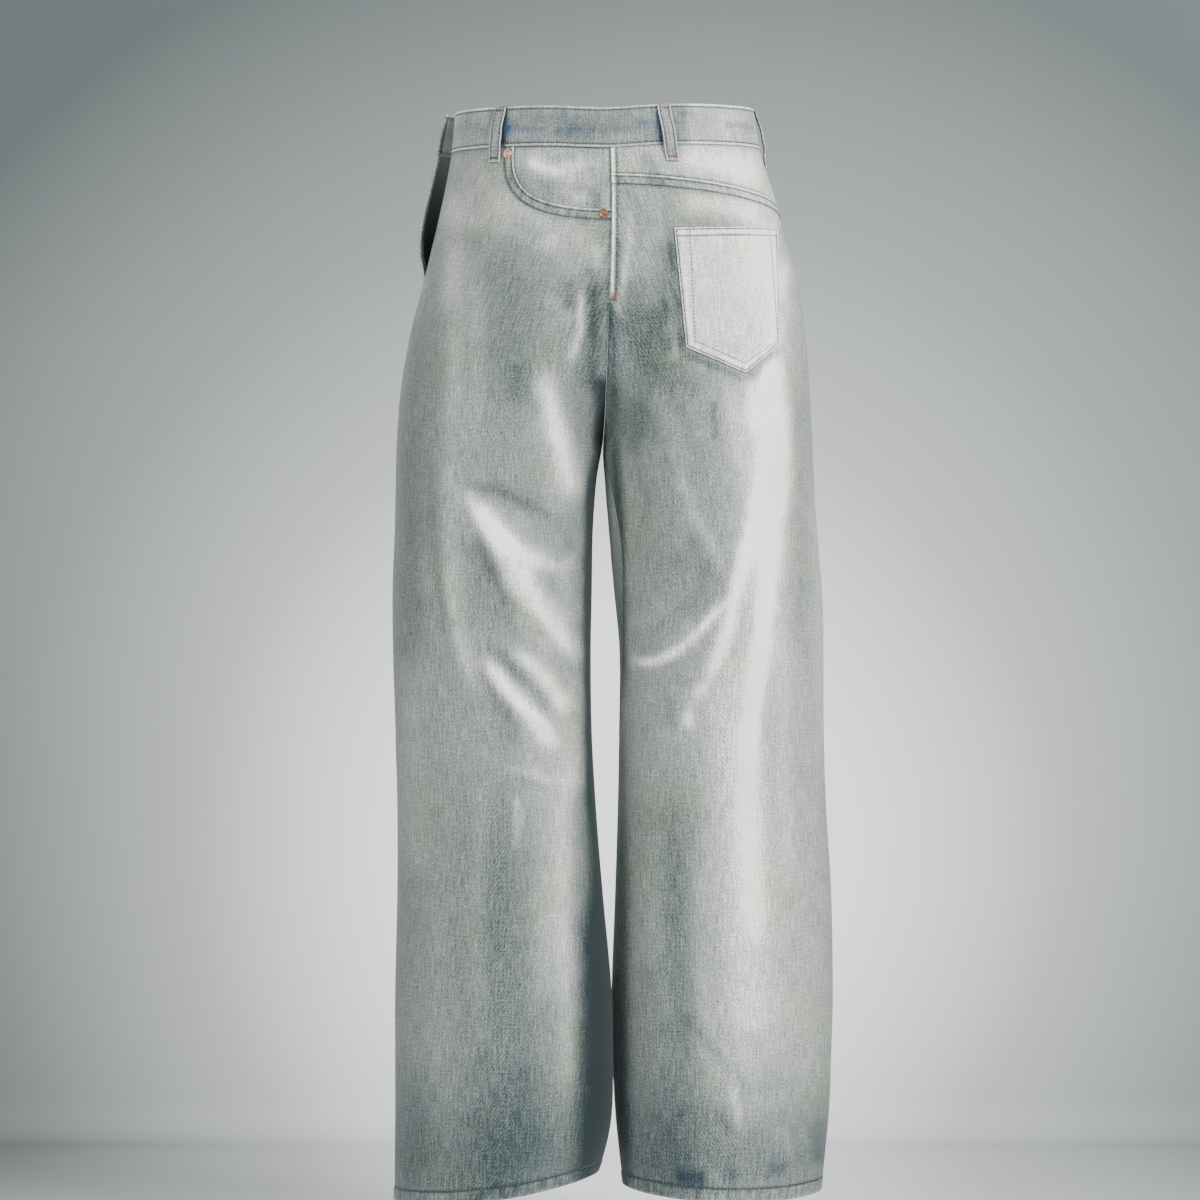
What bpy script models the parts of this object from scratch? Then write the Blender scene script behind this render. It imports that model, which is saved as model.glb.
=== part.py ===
"""Wide-leg jeans in bleached denim, in their worn form, with one closed solid for each cut piece.

Frame: +X to the right of the front view, +Y from the front to the back, +Z up. The origin is in
the middle of the waist, at half the waistband's height. Sizes are in millimetres until a mesh
is made. Each half of the garment is a ring of two quarters, a front and a back one. A place on
a quarter is given by f, from 0 at the side seam to 1 at the centre seam or the inseam, and by
its height z.
"""

from collections import namedtuple
from math import acos, cos, exp, hypot, pi, sin

import bmesh
import bpy
from mathutils import Vector

MM = 0.001
LEFT, RIGHT = -1, 1
FRONT, BACK = -1, 1

# Driving sizes
SEAM_GAP = 0.3
PANEL_WALL = 1.5
HEM_WALL = 2.7
HEM_HEIGHT = 13.0
HEM_PROUD = 0.6
BAND_HEIGHT = 40.0
BAND_WALL = 2.8
BAND_PROUD = 0.7
WAIST_Z = -BAND_HEIGHT / 2
CROTCH_Z = -310.0
JOIN_Z = -112.0
HEM_BLOCK_Z = -1010.0
ROUNDNESS = 2.2
PINCH_START_Z = -130.0
WAIST_TILT = 0.012
WAIST_DIP = 3.5
WAIST_DIP_REACH = 45.0

# Pocket mouth, yoke and placket
MOUTH_WIDTH = 94.0
MOUTH_DEPTH = 60.0
MOUTH_POWER = 2.7
FACING_GAP = 0.45
FACING_LOW_Z = -96.0
FACING_WALL = 1.2
YOKE_CENTRE_Z = -48.5
YOKE_SIDE_Z = -76.0
YOKE_POWER = 1.5
FLARE_ANGLE = 0.75
LIP_BACK = 2.0
LIP_FLARE = 4.0

# Belt loops and rivets
LOOP_WIDTH = 13.2
LOOP_WALL = 2.0
LOOP_LOW_Z = -36.0
LOOP_TOP_DROP = 1.0
LOOP_SEAT = 0.5
LOOP_ARCH = 3.2
LOOP_END = 0.4
LOOP_STEPS = 8
RIVET_WIDTH = 9.0
RIVET_STEPS = 16

# Columns of the grids: cells from the side seam to the centre seam or the inseam
PANEL_CELLS = 12
MOUTH_CELLS = 7
BAND_CELLS = 10

# Share of a fold's length over which it rises, and of a quarter over which it ends at a seam
FOLD_END = 0.3
FOLD_SEAM = 0.12

# Edges that bend more than this, in radians, are sharp
SHARP_ANGLE = 0.7

Section = namedtuple("Section", "z left_out left_in right_in right_out front back stagger")
SECTIONS = (
    Section(20, -150, 3, 3, 147, 105, 107, 0),
    Section(-20, -154, 4, 4, 154, 107, 109, 0),
    Section(-60, -161, 5, 5, 166, 110, 115, 0),
    Section(-100, -170, 5, 5, 177, 112, 121, 0),
    Section(-150, -182, 4, 4, 191, 113, 127, 0),
    Section(-200, -195, 2, 2, 199, 113, 129, 0),
    Section(-260, -205, 0, 0, 203.5, 112, 126, 0),
    Section(-310, -209, -3, -3, 206, 110, 121, 0),
    Section(-345, -210, -9, -1, 207.5, 108, 116, 1),
    Section(-400, -211, -13, 3, 211, 105, 109, 3),
    Section(-460, -213, -14, 8, 216, 101, 103, 5),
    Section(-520, -212.5, -15, 13, 217.5, 97, 99, 7),
    Section(-600, -210, -14, 13, 218, 93, 95, 10),
    Section(-680, -208, -9.5, 11.5, 220.5, 91, 93, 14),
    Section(-760, -208, -3, 9, 225.5, 90, 92, 18),
    Section(-860, -210, 6, 5.5, 227.5, 91, 93, 21),
    Section(-920, -210, 7, 6, 226, 92, 94, 21),
    Section(-980, -210, 6, 9, 223.5, 94, 96, 18),
    Section(-1020, -210.5, -2, 13, 219.5, 95, 97, 14),
    Section(-1070, -211, -22, 19, 214, 96, 98, 10),
)

# How far the rear edge of the open placket stands out beyond the front edge
Flare = namedtuple("Flare", "z out")
FLARES = (Flare(20, 9), Flare(-20, 14), Flare(-50, 16), Flare(-90, 17), Flare(-120, 12),
          Flare(-140, 4), Flare(-152, 0), Flare(-180, 0))

# How far each leg's inseam turns towards the front, in radians
Turn = namedtuple("Turn", "z angle")
RIGHT_TURNS = (Turn(-310, 0.0), Turn(-345, 0.3), Turn(-420, 0.5), Turn(-500, 0.35),
               Turn(-600, 0.1), Turn(-700, 0.0), Turn(-1070, 0.0))

# Hem line of each leg: its lowest height, and the lifts at its outer and inner sides
Hem = namedtuple("Hem", "low outer_lift inner_lift")
HEMS = {LEFT: Hem(-1066, 1, 29), RIGHT: Hem(-1069, 12, 17)}

# The largest folds: soft ridges, or troughs where the height is negative, from one end to the other
Fold = namedtuple("Fold", "side face x_high z_high x_low z_low width height")
FOLDS = (
    Fold(LEFT, FRONT, -144, -348, -42, -392, 14, -5.0),
    Fold(LEFT, FRONT, -134, -370, -40, -518, 18, 8.5),
    Fold(LEFT, FRONT, -144, -405, -94, -530, 13, -5.0),
    Fold(LEFT, FRONT, -126, -518, -46, -614, 17, 7.5),
    Fold(LEFT, FRONT, -145, -140, -152, -470, 20, 4.5),
    Fold(LEFT, FRONT, -36, -600, -44, -1015, 22, 6.5),
    Fold(RIGHT, FRONT, 164, -100, 164, -390, 18, 4.5),
    Fold(RIGHT, FRONT, 152, -385, 98, -560, 18, 7.0),
    Fold(RIGHT, FRONT, 166, -410, 134, -690, 17, 6.0),
    Fold(RIGHT, FRONT, 120, -464, 34, -534, 15, 5.5),
    Fold(RIGHT, FRONT, 96, -420, 70, -505, 20, -4.5),
    Fold(RIGHT, FRONT, 44, -600, 52, -1015, 22, 4.5),
    Fold(LEFT, BACK, -146, -140, -140, -480, 22, 4.5),
    Fold(LEFT, BACK, -38, -322, -118, -410, 18, 7.5),
    Fold(LEFT, BACK, -52, -470, -116, -560, 17, 6.0),
    Fold(LEFT, BACK, -78, -650, -66, -1015, 24, 6.0),
    Fold(RIGHT, BACK, 158, -120, 150, -470, 20, 4.5),
    Fold(RIGHT, BACK, 34, -325, 112, -425, 19, 7.5),
    Fold(RIGHT, BACK, 60, -500, 122, -585, 17, 5.5),
    Fold(RIGHT, BACK, 92, -660, 84, -1015, 24, 5.5),
)

# Corners of the patch pocket on the right front panel, clockwise from its upper inner corner
Corner = namedtuple("Corner", "x z")
POCKET = (Corner(66, -102), Corner(169, -98), Corner(167, -216), Corner(137, -245), Corner(78, -220))

Loop = namedtuple("Loop", "side face x lean")
LOOPS = (Loop(LEFT, FRONT, -105.5, -3.4), Loop(RIGHT, FRONT, 59, 4.9), Loop(RIGHT, BACK, 156, 0.0),
         Loop(RIGHT, BACK, 62, 3.0), Loop(LEFT, BACK, -102, -3.0))

Rivet = namedtuple("Rivet", "name x z")
RIVETS = (Rivet("rivet_upper", -96.5, -28.5), Rivet("rivet_lower", -2.5, -88.5))

# Heights of the rows between the joined top and the hem, closer together at the folds and the crotch
ROWS = (-112, -136, -162, -190, -218, -246, -270, -288, -300, -306.5, -310, -318, -334, -352,
        -370, -388, -408, -430, -452, -474, -496, -518, -542, -566, -590, -616, -650, -690,
        -735, -785, -835, -885, -935, -975, -1010)
TOP_STEPS = 3
EVEN_DEPTH = 80.0
FACING_SHARES = (0.0, 0.33, 0.67, 1.0)

# Rows of the last stretch of a leg: share of the way to the hem, height above it, and whether the
# wall has the hem's thickness there
HemRow = namedtuple("HemRow", "share above thick")
HEM_ROWS = (HemRow(0.5, 0.0, 0.0), HemRow(1.0, HEM_HEIGHT + 1.5, 0.0), HemRow(1.0, HEM_HEIGHT, 1.0),
            HemRow(1.0, 0.0, 1.0))

# A rivet's outline from its rim to its middle, as shares of its radius and heights
Ring = namedtuple("Ring", "reach height")
RIVET_RINGS = (Ring(1.0, 0.0), Ring(1.0, 0.9), Ring(0.7, 1.5), Ring(0.4, 1.1), Ring(0.3, 1.9))

Finish = namedtuple("Finish", "name colour roughness metallic")
DENIM = Finish("bleached_denim", (0.48, 0.53, 0.53, 1), 0.85, 0.0)
DENIM_INSIDE = Finish("facing_denim", (0.42, 0.48, 0.49, 1), 0.88, 0.0)
BAND_DENIM = Finish("band_denim", (0.50, 0.55, 0.58, 1), 0.85, 0.0)
COPPER = Finish("aged_copper", (0.48, 0.26, 0.20, 1), 0.45, 0.9)


def curve(rows, column, z):
    """A column's value at height z, on a smooth curve through its rows, which run downwards."""
    last = len(rows) - 1
    z = min(max(z, rows[-1].z), rows[0].z)
    k = next(i for i in range(last) if z >= rows[i + 1].z)

    def slope(i):
        before, after = rows[max(i - 1, 0)], rows[min(i + 1, last)]
        return (getattr(after, column) - getattr(before, column)) / (after.z - before.z)

    low, high = rows[k], rows[k + 1]
    span = high.z - low.z
    t = (z - low.z) / span
    start, end = getattr(low, column), getattr(high, column)
    return (
        start * (2 * t**3 - 3 * t**2 + 1)
        + end * (3 * t**2 - 2 * t**3)
        + slope(k) * span * (t**3 - 2 * t**2 + t)
        + slope(k + 1) * span * (t**3 - t**2)
    )


def smooth(t):
    """A soft step from 0 to 1 as t goes from 0 to 1."""
    t = min(max(t, 0.0), 1.0)
    return t * t * (3 - 2 * t)


def power(value, exponent):
    """A signed power."""
    return abs(value) ** exponent * (1 if value >= 0 else -1)


def ring(side, z):
    """Middle x, half width and pinch of the ring that one half of the garment follows at a height.

    The pinch is 0 at the waist, where both halves share one ring, and 1 from the crotch down,
    where each leg has its own.
    """
    left = side == LEFT
    outer = curve(SECTIONS, "left_out" if left else "right_out", z)
    inner = curve(SECTIONS, "left_in" if left or z >= CROTCH_Z else "right_in", z)
    pinch = smooth((PINCH_START_Z - z) / (PINCH_START_Z - CROTCH_Z)) ** 2
    half = abs(inner - outer) / (1 + pinch)
    return outer - side * half, half, pinch


def last_angle(side, face, z):
    """Angle of the centre seam or the inseam round the ring, from the side seam."""
    if z > CROTCH_Z:
        return acos(-(ring(side, z)[2] ** (ROUNDNESS / 2)))
    turn = curve(RIGHT_TURNS, "angle", z) if side == RIGHT else 0.0
    return pi + face * turn


def f_at(side, face, x, z):
    """The f of the place that has this x at height z."""
    middle, half, _ = ring(side, z)
    c = power(side * (x - middle) / half, ROUNDNESS / 2)
    return acos(min(max(c, -1.0), 1.0)) / last_angle(side, face, z)


def relief(side, face, f, x, z):
    """How far the folds raise the cloth at a place."""
    total = 0.0
    for fold in FOLDS:
        if fold.side != side or fold.face != face:
            continue
        run_x, run_z = fold.x_low - fold.x_high, fold.z_low - fold.z_high
        length = hypot(run_x, run_z)
        t = ((x - fold.x_high) * run_x + (z - fold.z_high) * run_z) / length**2
        off = ((x - fold.x_high) * run_z - (z - fold.z_high) * run_x) / length
        ends = smooth(t / FOLD_END) * smooth((1 - t) / FOLD_END)
        total += fold.height * ends * exp(-((off / fold.width) ** 2))
    return total * smooth(f / FOLD_SEAM) * smooth((1 - f) / FOLD_SEAM)


def place(side, face, f, z, apart=SEAM_GAP / 2):
    """Outer point of the cloth and its outward direction, both level, at a place."""
    middle, half, _ = ring(side, z)
    angle = f * last_angle(side, face, z)
    c, s = cos(angle), sin(angle)
    depth = curve(SECTIONS, "front" if face * s < 0 or (s == 0 and face == FRONT) else "back", z)
    x = middle + side * half * power(c, 2 / ROUNDNESS)
    y = face * depth * power(s, 2 / ROUNDNESS)
    out = Vector((
        side * power(c, 2 - 2 / ROUNDNESS) / half,
        face * power(s, 2 - 2 / ROUNDNESS) / depth,
        0.0,
    )).normalized()
    raised = relief(side, face, f, x, z)
    point = Vector((x, y, z)) + out * raised
    if side == LEFT and face == BACK:
        open_share = smooth(1 - angle / FLARE_ANGLE)
        flare = curve(FLARES, "out", z)
        point.x -= flare * open_share
        point.y += LIP_BACK * open_share * min(flare / LIP_FLARE, 1.0)
    point.x += side * apart
    point.y += face * SEAM_GAP / 2 + side * curve(SECTIONS, "stagger", z)
    return point, out


def waist_line(side, face, f):
    """Height of the waist seam: it dips a little at the front and rises to the right."""
    x = place(side, face, f, WAIST_Z)[0].x
    dip = WAIST_DIP * exp(-((x / WAIST_DIP_REACH) ** 2)) if face == FRONT else 0.0
    return WAIST_Z + WAIST_TILT * x - dip


def yoke_line(f):
    """Height of the yoke seam, lowest at the side."""
    return YOKE_CENTRE_Z + (YOKE_SIDE_Z - YOKE_CENTRE_Z) * (1 - f) ** YOKE_POWER


def mouth_columns():
    """f and drop below the waist seam of each column of the panel with the pocket mouth."""
    edge = f_at(LEFT, FRONT, curve(SECTIONS, "left_in", WAIST_Z) - MOUTH_WIDTH, WAIST_Z)
    cells = PANEL_CELLS - MOUTH_CELLS + 1
    columns = [(edge * k / cells, 0.0) for k in range(cells)]
    for k in range(MOUTH_CELLS + 1):
        angle = k / MOUTH_CELLS * pi / 2
        across = power(cos(angle), 2 / MOUTH_POWER) if k < MOUTH_CELLS else 0.0
        drop = MOUTH_DEPTH * power(sin(angle), 2 / MOUTH_POWER)
        columns.append((1 - (1 - edge) * across, drop))
    return columns


def hem_line(side, f):
    """Height of the hem edge."""
    hem = HEMS[side]
    inner = (1 - cos(f * pi)) / 2
    return hem.low + hem.inner_lift * inner**2 + hem.outer_lift * (1 - inner) ** 2


def evenly(count):
    """f of each column of a plain grid."""
    return [k / count for k in range(count + 1)]


class Pattern:
    """A cut piece laid flat as a grid, which keeps the outer and inner point of each corner."""

    def __init__(self):
        self.flat = bmesh.new()
        self.outer = self.flat.verts.layers.float_vector.new("outer")
        self.inner = self.flat.verts.layers.float_vector.new("inner")

    def grid(self, rows):
        """Fill the pattern from rows of (place across, height, outer point, inner point)."""
        made = []
        for row in rows:
            line = []
            for across, z, outer, inner in row:
                vert = self.flat.verts.new((across, z, 0))
                vert[self.outer], vert[self.inner] = outer, inner
                line.append(vert)
            made.append(line)
        for high, low in zip(made, made[1:]):
            for k in range(len(high) - 1):
                self.flat.faces.new((low[k], low[k + 1], high[k + 1]))
                self.flat.faces.new((low[k], high[k + 1], high[k]))
        return self

    def cut(self, corners):
        """Keep only what lies inside a convex outline, given by its corners."""
        middle = sum((Vector((x, z, 0)) for x, z in corners), Vector()) / len(corners)
        for (x1, z1), (x2, z2) in zip(corners, corners[1:] + corners[:1]):
            start = Vector((x1, z1, 0))
            side = Vector((z2 - z1, x1 - x2, 0)).normalized()
            if (middle - start).dot(side) > 0:
                side = -side
            geometry = self.flat.verts[:] + self.flat.edges[:] + self.flat.faces[:]
            bmesh.ops.bisect_plane(
                self.flat, geom=geometry, dist=0.002, plane_co=start, plane_no=side, clear_outer=True
            )
        bmesh.ops.triangulate(self.flat, faces=self.flat.faces[:])
        return self

    def solid(self, name, finish):
        """Make the closed wall between the pattern's outer and inner points."""
        wall = bmesh.new()
        outer = {v: wall.verts.new(v[self.outer] * MM) for v in self.flat.verts}
        inner = {v: wall.verts.new(v[self.inner] * MM) for v in self.flat.verts}
        for face in self.flat.faces:
            wall.faces.new([outer[v] for v in face.verts])
            wall.faces.new([inner[v] for v in reversed(face.verts)])
        for edge in self.flat.edges:
            if edge.is_boundary:
                a, b = edge.verts
                wall.faces.new((outer[a], outer[b], inner[b]))
                wall.faces.new((outer[a], inner[b], inner[a]))
        self.flat.free()
        return add_object(name, wall, finish)


def add_object(name, shape, finish):
    """Turn a bmesh into a named object with its own material."""
    bmesh.ops.recalc_face_normals(shape, faces=shape.faces[:])
    mesh = bpy.data.meshes.new(name)
    shape.to_mesh(mesh)
    shape.free()
    mesh.shade_smooth()
    mesh.set_sharp_from_angle(angle=SHARP_ANGLE)
    material = bpy.data.materials.new(name + "_" + finish.name)
    material.use_nodes = True
    shader = material.node_tree.nodes["Principled BSDF"]
    shader.inputs["Base Color"].default_value = finish.colour
    shader.inputs["Roughness"].default_value = finish.roughness
    shader.inputs["Metallic"].default_value = finish.metallic
    mesh.materials.append(material)
    made = bpy.data.objects.new(name, mesh)
    bpy.context.scene.collection.objects.link(made)
    return made


def cloth_point(side, face, f, z, proud=0.0, wall=PANEL_WALL, apart=SEAM_GAP / 2):
    """A pattern entry whose outer point stands proud of the panels' surface."""
    point, out = place(side, face, f, z, apart)
    outer = point + out * proud
    return f, z, outer, outer - out * wall


def top_rows(side, face, columns, line):
    """Rows from a top line down to just above the height where all rows are level."""
    rows = []
    for step in range(TOP_STEPS):
        share = step / TOP_STEPS
        rows.append([
            cloth_point(side, face, f, (line(f) - drop) * (1 - share) + JOIN_Z * share)
            for f, drop in columns
        ])
    return rows


def hem_rows(side, face, columns):
    """Rows of the last stretch, which ends in the thicker turned-up hem."""
    rows = []
    for share, above, thick in HEM_ROWS:
        row = []
        for f in columns:
            low = hem_line(side, f)
            z = HEM_BLOCK_Z + (low - HEM_BLOCK_Z) * share + above
            wall = PANEL_WALL + (HEM_WALL - PANEL_WALL) * thick
            row.append(cloth_point(side, face, f, z, HEM_PROUD * thick, wall))
        rows.append(row)
    return rows


def panel_rows(side, face, columns, line):
    """All rows of a leg panel, from its top line to its hem."""
    rows = top_rows(side, face, columns, line)
    cells = len(columns) - 1
    for z in ROWS:
        even = smooth((JOIN_Z - z) / EVEN_DEPTH)
        rows.append([
            cloth_point(side, face, f + (k / cells - f) * even, z) for k, (f, _) in enumerate(columns)
        ])
    return rows + hem_rows(side, face, evenly(cells))


def build_panels():
    """The four leg panels and the patch pocket, which is cut from its panel's own points."""
    plain = [(f, 0.0) for f in evenly(PANEL_CELLS)]

    for face, columns, name in (
        (FRONT, mouth_columns(), "front_panel_left"), (BACK, plain, "back_panel_left"),
    ):

        def under_band(f):
            return waist_line(LEFT, face, f) - SEAM_GAP / 2

        rows = panel_rows(LEFT, face, columns, under_band)
        Pattern().grid(rows).solid(name, DENIM)
    for face, name in ((FRONT, "front_panel_right"), (BACK, "back_panel_right")):

        def under_yoke(f):
            return yoke_line(f) - SEAM_GAP / 2

        rows = panel_rows(RIGHT, face, plain, under_yoke)
        Pattern().grid(rows).solid(name, DENIM)
        if face == FRONT:
            build_patch_pocket(rows)


def build_patch_pocket(rows):
    """The pocket lies on the panel: the panel's points, moved out and cut to its corners."""
    lifted = []
    for row in rows:
        line = []
        for _, z, outer, inner in row:
            out = (outer - inner).normalized()
            line.append((outer.x, z, outer + out * (SEAM_GAP + PANEL_WALL), outer + out * SEAM_GAP))
        lifted.append(line)
    Pattern().grid(lifted).cut(POCKET).solid("patch_pocket", DENIM)


def build_yokes():
    """The two yokes between the waist seam and the yoke seam."""
    for face, name in ((FRONT, "yoke_front"), (BACK, "yoke_back")):
        rows = []
        for share in (0.0, 0.5, 1.0):
            row = []
            for f in evenly(PANEL_CELLS):
                high = waist_line(RIGHT, face, f) - SEAM_GAP / 2
                low = yoke_line(f) + SEAM_GAP / 2
                row.append(cloth_point(RIGHT, face, f, high + (low - high) * share))
            rows.append(row)
        Pattern().grid(rows).solid(name, DENIM)


def build_facing():
    """The facing in the pocket mouth, one wall and a gap behind the panel."""
    columns = [f for f, drop in mouth_columns()][PANEL_CELLS - MOUTH_CELLS:]
    rows = []
    for share in FACING_SHARES:
        row = []
        for f in columns:
            high = waist_line(LEFT, FRONT, f) - SEAM_GAP / 2
            z = high + (FACING_LOW_Z - high) * share
            row.append(cloth_point(LEFT, FRONT, f, z, -PANEL_WALL - FACING_GAP, FACING_WALL))
        rows.append(row)
    Pattern().grid(rows).solid("pocket_facing", DENIM_INSIDE)


def build_waistband():
    """One band round the waist, open at the placket on the left side."""
    around = [(LEFT, FRONT, f) for f in evenly(BAND_CELLS)]
    around += [(RIGHT, FRONT, 1 - f) for f in evenly(BAND_CELLS)[1:]]
    around += [(RIGHT, BACK, f) for f in evenly(BAND_CELLS)[1:]]
    around += [(LEFT, BACK, 1 - f) for f in evenly(BAND_CELLS)[1:]]
    rows = []
    for share in (1.0, 0.5, 0.0):
        row = []
        for k, (side, face, f) in enumerate(around):
            z = waist_line(side, face, f) + SEAM_GAP / 2 + (BAND_HEIGHT - SEAM_GAP / 2) * share
            entry = cloth_point(side, face, f, z, BAND_PROUD, BAND_WALL, apart=0.0)
            row.append((k, *entry[1:]))
        rows.append(row)
    Pattern().grid(rows).solid("waistband", BAND_DENIM)


def build_belt_loops():
    """Narrow straps over the waistband, seated at both ends and arched between them."""
    for number, loop in enumerate(LOOPS, start=1):
        f = f_at(loop.side, loop.face, loop.x, WAIST_Z)
        seam = waist_line(loop.side, loop.face, f)
        high = seam + BAND_HEIGHT - LOOP_TOP_DROP
        rows = []
        for step in range(LOOP_STEPS + 1):
            t = step / LOOP_STEPS
            z = high + (LOOP_LOW_Z - high) * t
            on_band = smooth((z - seam + 7) / 5)
            arch = LOOP_ARCH * smooth(t / LOOP_END) * smooth((1 - t) / LOOP_END)
            middle, out = place(loop.side, loop.face, f, z, apart=0.0)
            across = Vector((-out.y, out.x, 0)) * LOOP_WIDTH / 2
            middle += Vector((loop.lean * t, 0, 0)) - out * out.x * loop.lean * t
            inner = middle + out * (BAND_PROUD * on_band + LOOP_SEAT + arch)
            outer = inner + out * LOOP_WALL
            rows.append([(k, z, outer + across * k, inner + across * k) for k in (-1, 0, 1)])
        Pattern().grid(rows).solid(f"belt_loop_{number}", DENIM)


def build_rivets():
    """Domed copper rivets with a raised middle, at both ends of the pocket mouth."""
    radius = RIVET_WIDTH / 2
    for rivet in RIVETS:
        f = f_at(LEFT, FRONT, rivet.x, rivet.z)
        point, out = place(LEFT, FRONT, f, rivet.z)
        seat = point + out * SEAM_GAP
        across, up = Vector((-out.y, out.x, 0)), Vector((0, 0, 1))
        shape = bmesh.new()
        rings = []
        for reach, height in RIVET_RINGS:
            rings.append([
                shape.verts.new((
                    seat + out * height
                    + (across * cos(k * 2 * pi / RIVET_STEPS) + up * sin(k * 2 * pi / RIVET_STEPS))
                    * reach * radius
                ) * MM)
                for k in range(RIVET_STEPS)
            ])
        for low, high in zip(rings, rings[1:]):
            for k in range(RIVET_STEPS):
                nxt = (k + 1) % RIVET_STEPS
                shape.faces.new((low[k], low[nxt], high[nxt], high[k]))
        shape.faces.new(rings[0])
        shape.faces.new(rings[-1])
        add_object(rivet.name, shape, COPPER)


def main():
    """Clear the scene and build each piece."""
    for old in list(bpy.data.objects):
        bpy.data.objects.remove(old, do_unlink=True)
    build_panels()
    build_yokes()
    build_facing()
    build_waistband()
    build_belt_loops()
    build_rivets()


main()
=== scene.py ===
"""Dressed model of wide-leg jeans in bleached denim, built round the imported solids.

Every cut piece is a thin shell on the same worn form as its solid, with a finer grid, the smaller
creases, the lapped seams and the sewn stitches. Sizes are in millimetres until a mesh is made.
A place on a quarter of the garment is given by f, from 0 at the side seam to 1 at the centre seam
or the inseam, and by its height z.
"""

import logging
import math
from dataclasses import dataclass, field
from enum import IntEnum
from typing import Any, NamedTuple, Sequence

import bpy
import numpy as np
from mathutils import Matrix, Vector


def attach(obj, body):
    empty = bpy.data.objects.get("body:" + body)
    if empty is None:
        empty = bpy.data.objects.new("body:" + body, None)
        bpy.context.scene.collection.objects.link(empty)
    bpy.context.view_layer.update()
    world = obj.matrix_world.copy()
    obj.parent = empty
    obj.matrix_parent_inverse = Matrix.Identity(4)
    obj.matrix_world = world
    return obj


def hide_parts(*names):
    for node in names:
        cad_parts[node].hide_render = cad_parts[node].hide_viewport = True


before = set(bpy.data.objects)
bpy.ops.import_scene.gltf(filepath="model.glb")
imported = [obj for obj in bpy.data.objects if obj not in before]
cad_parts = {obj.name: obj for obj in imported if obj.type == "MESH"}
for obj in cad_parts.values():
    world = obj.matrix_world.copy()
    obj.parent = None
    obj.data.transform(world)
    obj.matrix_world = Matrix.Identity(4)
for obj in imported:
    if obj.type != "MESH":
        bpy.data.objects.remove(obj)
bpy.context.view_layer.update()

LOG = logging.getLogger("jeans")
MM = 0.001
# Half of the gap that two pieces keep at a seam
HALF_GAP = 0.15
# A distance from a seam at which nothing of it shows
FAR = 99.0
# An edge of the cloth is rounded over this distance
EDGE_ROUND = 0.9
# A wave texture of scale 1 has a band for each 0.314 of its unit
WAVE_PITCH = 0.314
Array = np.ndarray


class Side(IntEnum):
    """The half of the garment, as seen from the front."""

    LEFT = -1
    RIGHT = 1


class Face(IntEnum):
    """The front or the back of the garment."""

    FRONT = -1
    BACK = 1


LEFT, RIGHT, FRONT, BACK = Side.LEFT, Side.RIGHT, Face.FRONT, Face.BACK


class Section(NamedTuple):
    """Where the ring of each half lies at one height."""

    z: float
    left_out: float
    left_in: float
    right_in: float
    right_out: float
    front: float
    back: float
    stagger: float


SECTIONS = (
    Section(20, -150, 3, 3, 147, 105, 107, 0),
    Section(-20, -154, 4, 4, 154, 107, 109, 0),
    Section(-60, -161, 5, 5, 166, 110, 115, 0),
    Section(-100, -170, 5, 5, 177, 112, 121, 0),
    Section(-150, -182, 4, 4, 191, 113, 127, 0),
    Section(-200, -195, 2, 2, 199, 113, 129, 0),
    Section(-260, -205, 0, 0, 203.5, 112, 126, 0),
    Section(-310, -209, -3, -3, 206, 110, 121, 0),
    Section(-345, -210, -9, -1, 207.5, 108, 116, 1),
    Section(-400, -211, -13, 3, 211, 105, 109, 3),
    Section(-460, -213, -14, 8, 216, 101, 103, 5),
    Section(-520, -212.5, -15, 13, 217.5, 97, 99, 7),
    Section(-600, -210, -14, 13, 218, 93, 95, 10),
    Section(-680, -208, -9.5, 11.5, 220.5, 91, 93, 14),
    Section(-760, -208, -3, 9, 225.5, 90, 92, 18),
    Section(-860, -210, 6, 5.5, 227.5, 91, 93, 21),
    Section(-920, -210, 7, 6, 226, 92, 94, 21),
    Section(-980, -210, 6, 9, 223.5, 94, 96, 18),
    Section(-1020, -210.5, -2, 13, 219.5, 95, 97, 14),
    Section(-1070, -211, -22, 19, 214, 96, 98, 10),
)


class Step(NamedTuple):
    """A value at one height."""

    z: float
    value: float


FLARES = (Step(20, 9), Step(-20, 14), Step(-50, 16), Step(-90, 17), Step(-120, 12), Step(-140, 4),
          Step(-152, 0), Step(-180, 0))
RIGHT_TURNS = (Step(-310, 0.0), Step(-345, 0.3), Step(-420, 0.5), Step(-500, 0.35), Step(-600, 0.1),
               Step(-700, 0.0), Step(-1070, 0.0))


class Hem(NamedTuple):
    """A leg's hem line: its lowest height, and the lifts at its outer and inner sides."""

    low: float
    outer_lift: float
    inner_lift: float


HEMS = {LEFT: Hem(-1066, 1, 29), RIGHT: Hem(-1069, 12, 17)}


class Fold(NamedTuple):
    """A large fold that the solids have too: a straight soft ridge, or a trough if height is negative."""

    x_high: float
    z_high: float
    x_low: float
    z_low: float
    width: float
    height: float


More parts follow.
